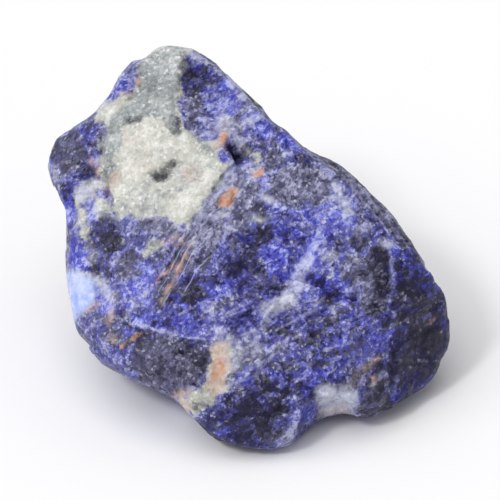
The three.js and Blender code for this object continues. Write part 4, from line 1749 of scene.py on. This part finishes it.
@dataclass
class Stone:
    """The lump of sodalite.

    Attributes:
        grain: The size of the fine mesh's squares, in millimetres.
        wear: How many rounds of smoothing take the solid's own facets off.
        flat: How far above the table the flat underside is held level, in millimetres.
        chips: How many small flakes are off its edges.
        chip_radius: The least and the greatest that one reaches, in millimetres.
        chip_depth: The least and the greatest that one bites in, as shares of how far it reaches.
        chip_hollow: How fast its face curves away from flat, for each square millimetre.
        seed: What the random draws for them start from.
        proudest: The share of the skin that sticks out too little to lose a chip.
        stir: How far the buried minerals' shapes are stirred about, in millimetres.
        proud_shown: How far a place sticks out where it looks fully worn and takes its full painted edge
            highlight, in millimetres.
        fullest_shade_depth: How far a place lies in where its painted shade is fullest, in millimetres.
        finish: Its finish.
    """

    grain: float = 0.29
    wear: int = 16
    flat: float = 0.12
    chips: int = 70
    chip_radius: tuple[float, float] = (2.0, 6.0)
    chip_depth: tuple[float, float] = (0.05, 0.09)
    chip_hollow: float = 0.02
    seed: int = 20
    proudest: float = 0.80
    stir: float = 1.3
    proud_shown: float = 0.12
    fullest_shade_depth: float = 0.16
    finish: StoneFinish = field(default_factory=StoneFinish)
    solid: bpy.types.Object = field(init=False)
    skin: Skin = field(init=False)
    depths: dict[Mineral, Points] = field(init=False)

    FORM_ROUNDS = 30  # rounds of smoothing that leave only the lump's broad form
    EDGE_ROUNDS = 12  # rounds that leave its facing without the small steps
    BUMP_ROUNDS = 10  # rounds that take off only the bumps
    LEDGE_FADE = 3  # how fast the ledges and pits come in where faces turn to the front
    LEDGE_WANDER = 0.25  # how far their edges wander, in millimetres
    WANDER_SIZE = 1.5  # the size of those waves, in millimetres
    SWIRL_SIZE = 4.0  # the size of the swirls that stir the buried minerals, in millimetres
    TABLE_FADE = 1.0  # how far up from the flat underside the relief comes in, in millimetres
    OFF_TABLE = 2.0  # the lowest that a chip's middle can be, in millimetres above the table
    CHIP_TILT = 0.25  # how far its face tilts off the lump's own facing
    CHIP_RIM = 0.25  # how much of its radius it fades out over
    DEEPEST_CHIP = 1.2  # how deep it can cut, in millimetres
    SPARED = 0.9  # how much less than that on the shown face, in millimetres
    SHALLOWER = 0.7  # the share of its depth that it loses there
    CALMED = ((Mineral.CHIP, 0.8), (Mineral.DARK, 0.4))  # how much smoother these break
    RIM_FADE = 1.5  # how fast the relief comes in from the outline that the main view sees
    RIM_LEAST = 0.4  # the share of it that the outline keeps

    def heart(self) -> Points:
        """Give the place that the face plane's places are measured from, in millimetres."""
        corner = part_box(STONE_NODE)[0]
        return np.array(corner) / MM + np.array(HEART_FROM_CORNER)

    def copy_solid(self) -> None:
        """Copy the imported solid, and join its loose triangles."""
        bpy.ops.object.select_all(action="DESELECT")
        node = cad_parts[STONE_NODE]
        node.select_set(True)
        bpy.context.view_layer.objects.active = node
        bpy.ops.object.duplicate()
        self.solid = bpy.context.active_object
        self.solid.name = "stone"
        self.solid.data.name = "stone"
        for key in list(self.solid.keys()):
            del self.solid[key]
        self.solid.parent = None
        bpy.ops.object.mode_set(mode="EDIT")
        bpy.ops.mesh.select_all(action="SELECT")
        bpy.ops.mesh.remove_doubles(threshold=1e-6)
        bpy.ops.object.mode_set(mode="OBJECT")

    def remesh(self) -> None:
        """Turn the copy into a fine, even mesh, with the solid's own facets worn off."""
        voxels = self.solid.modifiers.new("fine", "REMESH")
        voxels.mode = "VOXEL"
        voxels.voxel_size = self.grain * MM
        bpy.ops.object.modifier_apply(modifier=voxels.name)
        worn = self.solid.modifiers.new("worn", "SMOOTH")
        worn.factor = 0.5
        worn.iterations = self.wear
        bpy.ops.object.modifier_apply(modifier=worn.name)

    def on(self, side: Side) -> tuple[Points, Points, Points]:
        """Lay the vertices out on a side's plane.

        Args:
            side: The side.

        Returns:
            Their places across and up it, how far out they stand, and how squarely they face it, from -1
            to 1.
        """
        axes = side.axes()
        laid = (self.skin.places - self.heart()) @ axes.T
        return laid[:, :2], laid[:, 2], self.skin.normals @ axes[2]

    def carve(self) -> None:
        """Split the ledges and sink the pits."""
        where, _, facing = self.on(FRONT)
        shown = np.clip(facing * self.LEDGE_FADE, 0, 1)
        wander = [Rumple(seed).waves(self.skin.places, self.WANDER_SIZE) for seed in (3, 4)]
        where = where + self.LEDGE_WANDER * np.stack(wander, axis=1)
        total = sum(feature.lift(where) for feature in FRONT_RELIEF)
        self.skin.lift(total * shown * self.above_table())

    def above_table(self) -> Points:
        """Give 0 for the vertices of the flat underside and 1 for those well above it."""
        return np.clip((self.skin.places[:, 2] - self.flat) / self.TABLE_FADE, 0, 1)

    def chip(self) -> None:
        """Knock shallow flakes off the corners and the edges."""
        random = np.random.default_rng(self.seed)
        proud = self.skin.proud(self.FORM_ROUNDS)
        calm = self.skin.smoothed(self.skin.normals, self.FORM_ROUNDS)
        shown = np.clip(calm @ FRONT.axes()[2] * 2.5 + 1.0, 0, 1)
        sticks_out = proud > np.quantile(proud, self.proudest)
        off_table = self.skin.places[:, 2] > self.OFF_TABLE
        for pick in random.choice(np.flatnonzero(sticks_out & off_table), self.chips, replace=False):
            out = calm[pick] + random.normal(size=3) * self.CHIP_TILT
            out /= np.linalg.norm(out)
            radius = random.uniform(*self.chip_radius)
            depth = random.uniform(*self.chip_depth) * radius * (1 - self.SHALLOWER * shown[pick])
            away = self.skin.places - self.skin.places[pick]
            distance = np.linalg.norm(away, axis=1)
            cut = away @ out + depth + distance**2 * self.chip_hollow
            near = np.clip((radius - distance) / (radius * self.CHIP_RIM), 0, 1)
            deepest = self.DEEPEST_CHIP - self.SPARED * shown[pick]
            self.skin.places -= out * (np.clip(cut, 0, deepest) * near)[:, None]
        self.skin.write()

    def find(self) -> None:
        """Work out how deep inside each mineral every vertex is, in millimetres."""
        where, out, facing = self.on(FRONT)
        calm = self.skin.smoothed(facing, self.EDGE_ROUNDS)
        near = out - FARTHEST_BACK
        places = self.skin.places - self.heart()
        swirls = [Rumple(seed).waves(places, self.SWIRL_SIZE) for seed in (30, 31, 32)]
        stirred = places + self.stir * np.stack(swirls, axis=1)
        self.depths = {mineral: np.full(len(where), FAR_OUTSIDE) for mineral in Mineral}
        for mineral, features in FRONT_MINERALS.items():
            for feature in features:
                reached = np.minimum((calm - feature.wrap) * FADE_ROUND_EDGE, near)
                self.deepen(mineral, np.minimum(feature.depth(where), feature.most), reached)
        for mineral, features in BURIED_MINERALS.items():
            for feature in features:
                self.deepen(mineral, feature.depth(stirred), (BURIED_FROM - calm) * FADE_ROUND_EDGE)

    def deepen(self, mineral: Mineral, depth: Points, reached: Points) -> None:
        """Add one mark of a mineral, as far as it is reached."""
        self.depths[mineral] = np.maximum(self.depths[mineral], np.minimum(depth, reached))

    def within(self, mineral: Mineral) -> Points:
        """Give a share from 0, outside a mineral, to 1, a millimetre inside it."""
        return np.clip(self.depths[mineral], 0, 1)

    def roughen(self) -> None:
        """Give the skin its broken relief: smoother on the chip, and grainy on the calcite."""
        places = self.skin.places
        coarse = Rumple(11)
        fine = Rumple(12)
        faces = heaped(
            places, (fine.facets, 0.11, 4.5), (fine.facets, 0.095, 2.3), (coarse.facets, 0.075, 1.1)
        )
        swells = heaped(places, (coarse.waves, 0.06, 3.1), (coarse.waves, 0.04, 1.5))
        broken = faces + swells
        grainy = heaped(
            places, (coarse.waves, 0.12, 3.1), (fine.facets, 0.06, 1.6), (fine.facets, 0.05, 0.8)
        )
        crumbs = heaped(places, (fine.waves, 0.035, 0.7))
        calcite = self.within(Mineral.CALCITE)
        height = broken * (1 - calcite) + grainy * calcite + crumbs
        for mineral, calmed in self.CALMED:
            height *= 1 - calmed * self.within(mineral)
        height *= np.clip(np.abs(self.on(FRONT)[2]) * self.RIM_FADE, self.RIM_LEAST, 1.0)
        self.skin.lift(self.skin.smoothed(height, 1) * self.above_table())

    def seat(self) -> None:
        """Hold the underside level on the table."""
        heights = self.skin.places[:, 2]
        self.skin.places[:, 2] = np.where(heights < self.flat, 0.0, heights)
        self.skin.write()

    def mark(self) -> None:
        """Store what each mineral covers; where the skin stands proud, which the finish lightens as partly
        wear and partly a painted edge highlight; and where it lies hollow, which it darkens as painted shade.
        """
        proud = self.skin.smoothed(self.skin.proud(self.BUMP_ROUNDS), 2)
        # How far the skin stands proud, which the finish lightens: partly as wear, partly as a painted edge
        # highlight.
        self.skin.store("worn", np.clip(proud / self.proud_shown, 0, 1))
        # How hollow the skin lies, which the finish paints as shade.
        self.skin.store("painted_hollow_shade", np.clip(-proud / self.fullest_shade_depth, 0, 1))
        for mineral, depth in self.depths.items():
            self.skin.store(mineral.value, np.clip(depth, -DEEPEST_HELD, DEEPEST_HELD))

    def dress(self) -> None:
        """Give the stone its finish and smooth shading."""
        self.solid.data.materials.clear()
        self.solid.data.materials.append(self.finish.make())
        bpy.ops.object.shade_smooth()

    def build(self) -> bpy.types.Object:
        """Make the stone.

        Returns:
            Its object.
        """
        self.copy_solid()
        self.remesh()
        self.skin = Skin(self.solid.data)
        self.chip()
        self.find()
        self.carve()
        self.roughen()
        self.seat()
        self.mark()
        self.dress()
        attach(self.solid, BODY)
        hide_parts(STONE_NODE)
        mesh = self.solid.data
        log.info("%s: %d vertices, %d faces", self.solid.name, len(mesh.vertices), len(mesh.polygons))
        return self.solid


@dataclass(frozen=True)
class Lamp:
    """A far lamp.

    Attributes:
        name: Its name.
        side: Where it shines from.
        strength: Its light on a surface that faces it, in watts per square metre.
        spread: How wide it looks from the stone, in degrees.
    """

    name: str
    side: Side
    strength: float
    spread: float

    def hang(self) -> None:
        """Add the lamp to the scene."""
        data = bpy.data.lights.new(self.name, "SUN")
        data.energy = self.strength
        data.angle = math.radians(self.spread)
        lamp = bpy.data.objects.new(self.name, data)
        lamp.rotation_euler = Vector(self.side.axes()[2]).to_track_quat("Z", "Y").to_euler()
        bpy.context.scene.collection.objects.link(lamp)


@dataclass(frozen=True)
class Studio:
    """The table, the lights and the camera.

    Attributes:
        view_width: How much the camera's frame takes in at the stone, in millimetres.
        focal_length: The camera's, in millimetres.
        table_width: How far the table reaches, in metres.
        table_colour: The table's colour.
        table_roughness: How matt the table is.
        lamps: Its lamps.
        room_light: How strong the even light of the room is.
    """

    view_width: float = 62.0
    focal_length: float = 1000.0
    table_width: float = 4.0
    table_colour: Colour = screen(244, 244, 245)
    table_roughness: float = 0.8
    lamps: tuple[Lamp, ...] = (
        Lamp("overhead", Side(-60.0, 66.0), 1.5, 70.0),
        Lamp("key", Side(-40.0, 48.0), 0.85, 10.0),
    )
    room_light: float = 0.48

    def place_camera(self, target: Vector) -> bpy.types.Object:
        """Point the camera at the stone.

        Args:
            target: The place at the middle of its frame, in metres.

        Returns:
            The camera.
        """
        data = bpy.data.cameras.new("camera")
        data.lens = self.focal_length
        distance = self.view_width * MM * data.lens / data.sensor_width
        out = Vector(FRONT.axes()[2])
        camera = bpy.data.objects.new("camera", data)
        camera.location = target + out * distance
        camera.rotation_euler = out.to_track_quat("Z", "Y").to_euler()
        data.clip_start = 0.01
        bpy.context.scene.collection.objects.link(camera)
        bpy.context.scene.camera = camera
        return camera

    def lay_table(self) -> bpy.types.Object:
        """Lay the pale table.

        Returns:
            Its object.
        """
        bpy.ops.object.select_all(action="DESELECT")
        bpy.ops.mesh.primitive_plane_add(size=self.table_width)
        table = bpy.context.active_object
        table.name = "table"
        mix = Mixer("pale_table")
        mix.surface.inputs["Base Color"].default_value = self.table_colour
        mix.surface.inputs["Roughness"].default_value = self.table_roughness
        table.data.materials.append(mix.material)
        return table

    def set_lights(self) -> None:
        """Hang the lamps, and let the room give an even light."""
        for lamp in self.lamps:
            lamp.hang()
        world = bpy.data.worlds.new("room")
        world.use_nodes = True
        background = world.node_tree.nodes["Background"]
        background.inputs["Color"].default_value = (1.0, 1.0, 1.0, 1.0)
        background.inputs["Strength"].default_value = self.room_light
        bpy.context.scene.world = world
        bpy.context.scene.view_settings.view_transform = "Standard"


def main() -> None:
    """Build the studio and the stone."""
    logging.basicConfig(level=logging.INFO, format="%(name)s: %(message)s")
    studio = Studio()
    stone = Stone()
    studio.place_camera(Vector(stone.heart() * MM))
    stone.build()
    table = studio.lay_table()
    log.info("%s: laid", table.name)
    studio.set_lights()
    log.info("studio: lit")


if __name__ == "__main__":
    main()
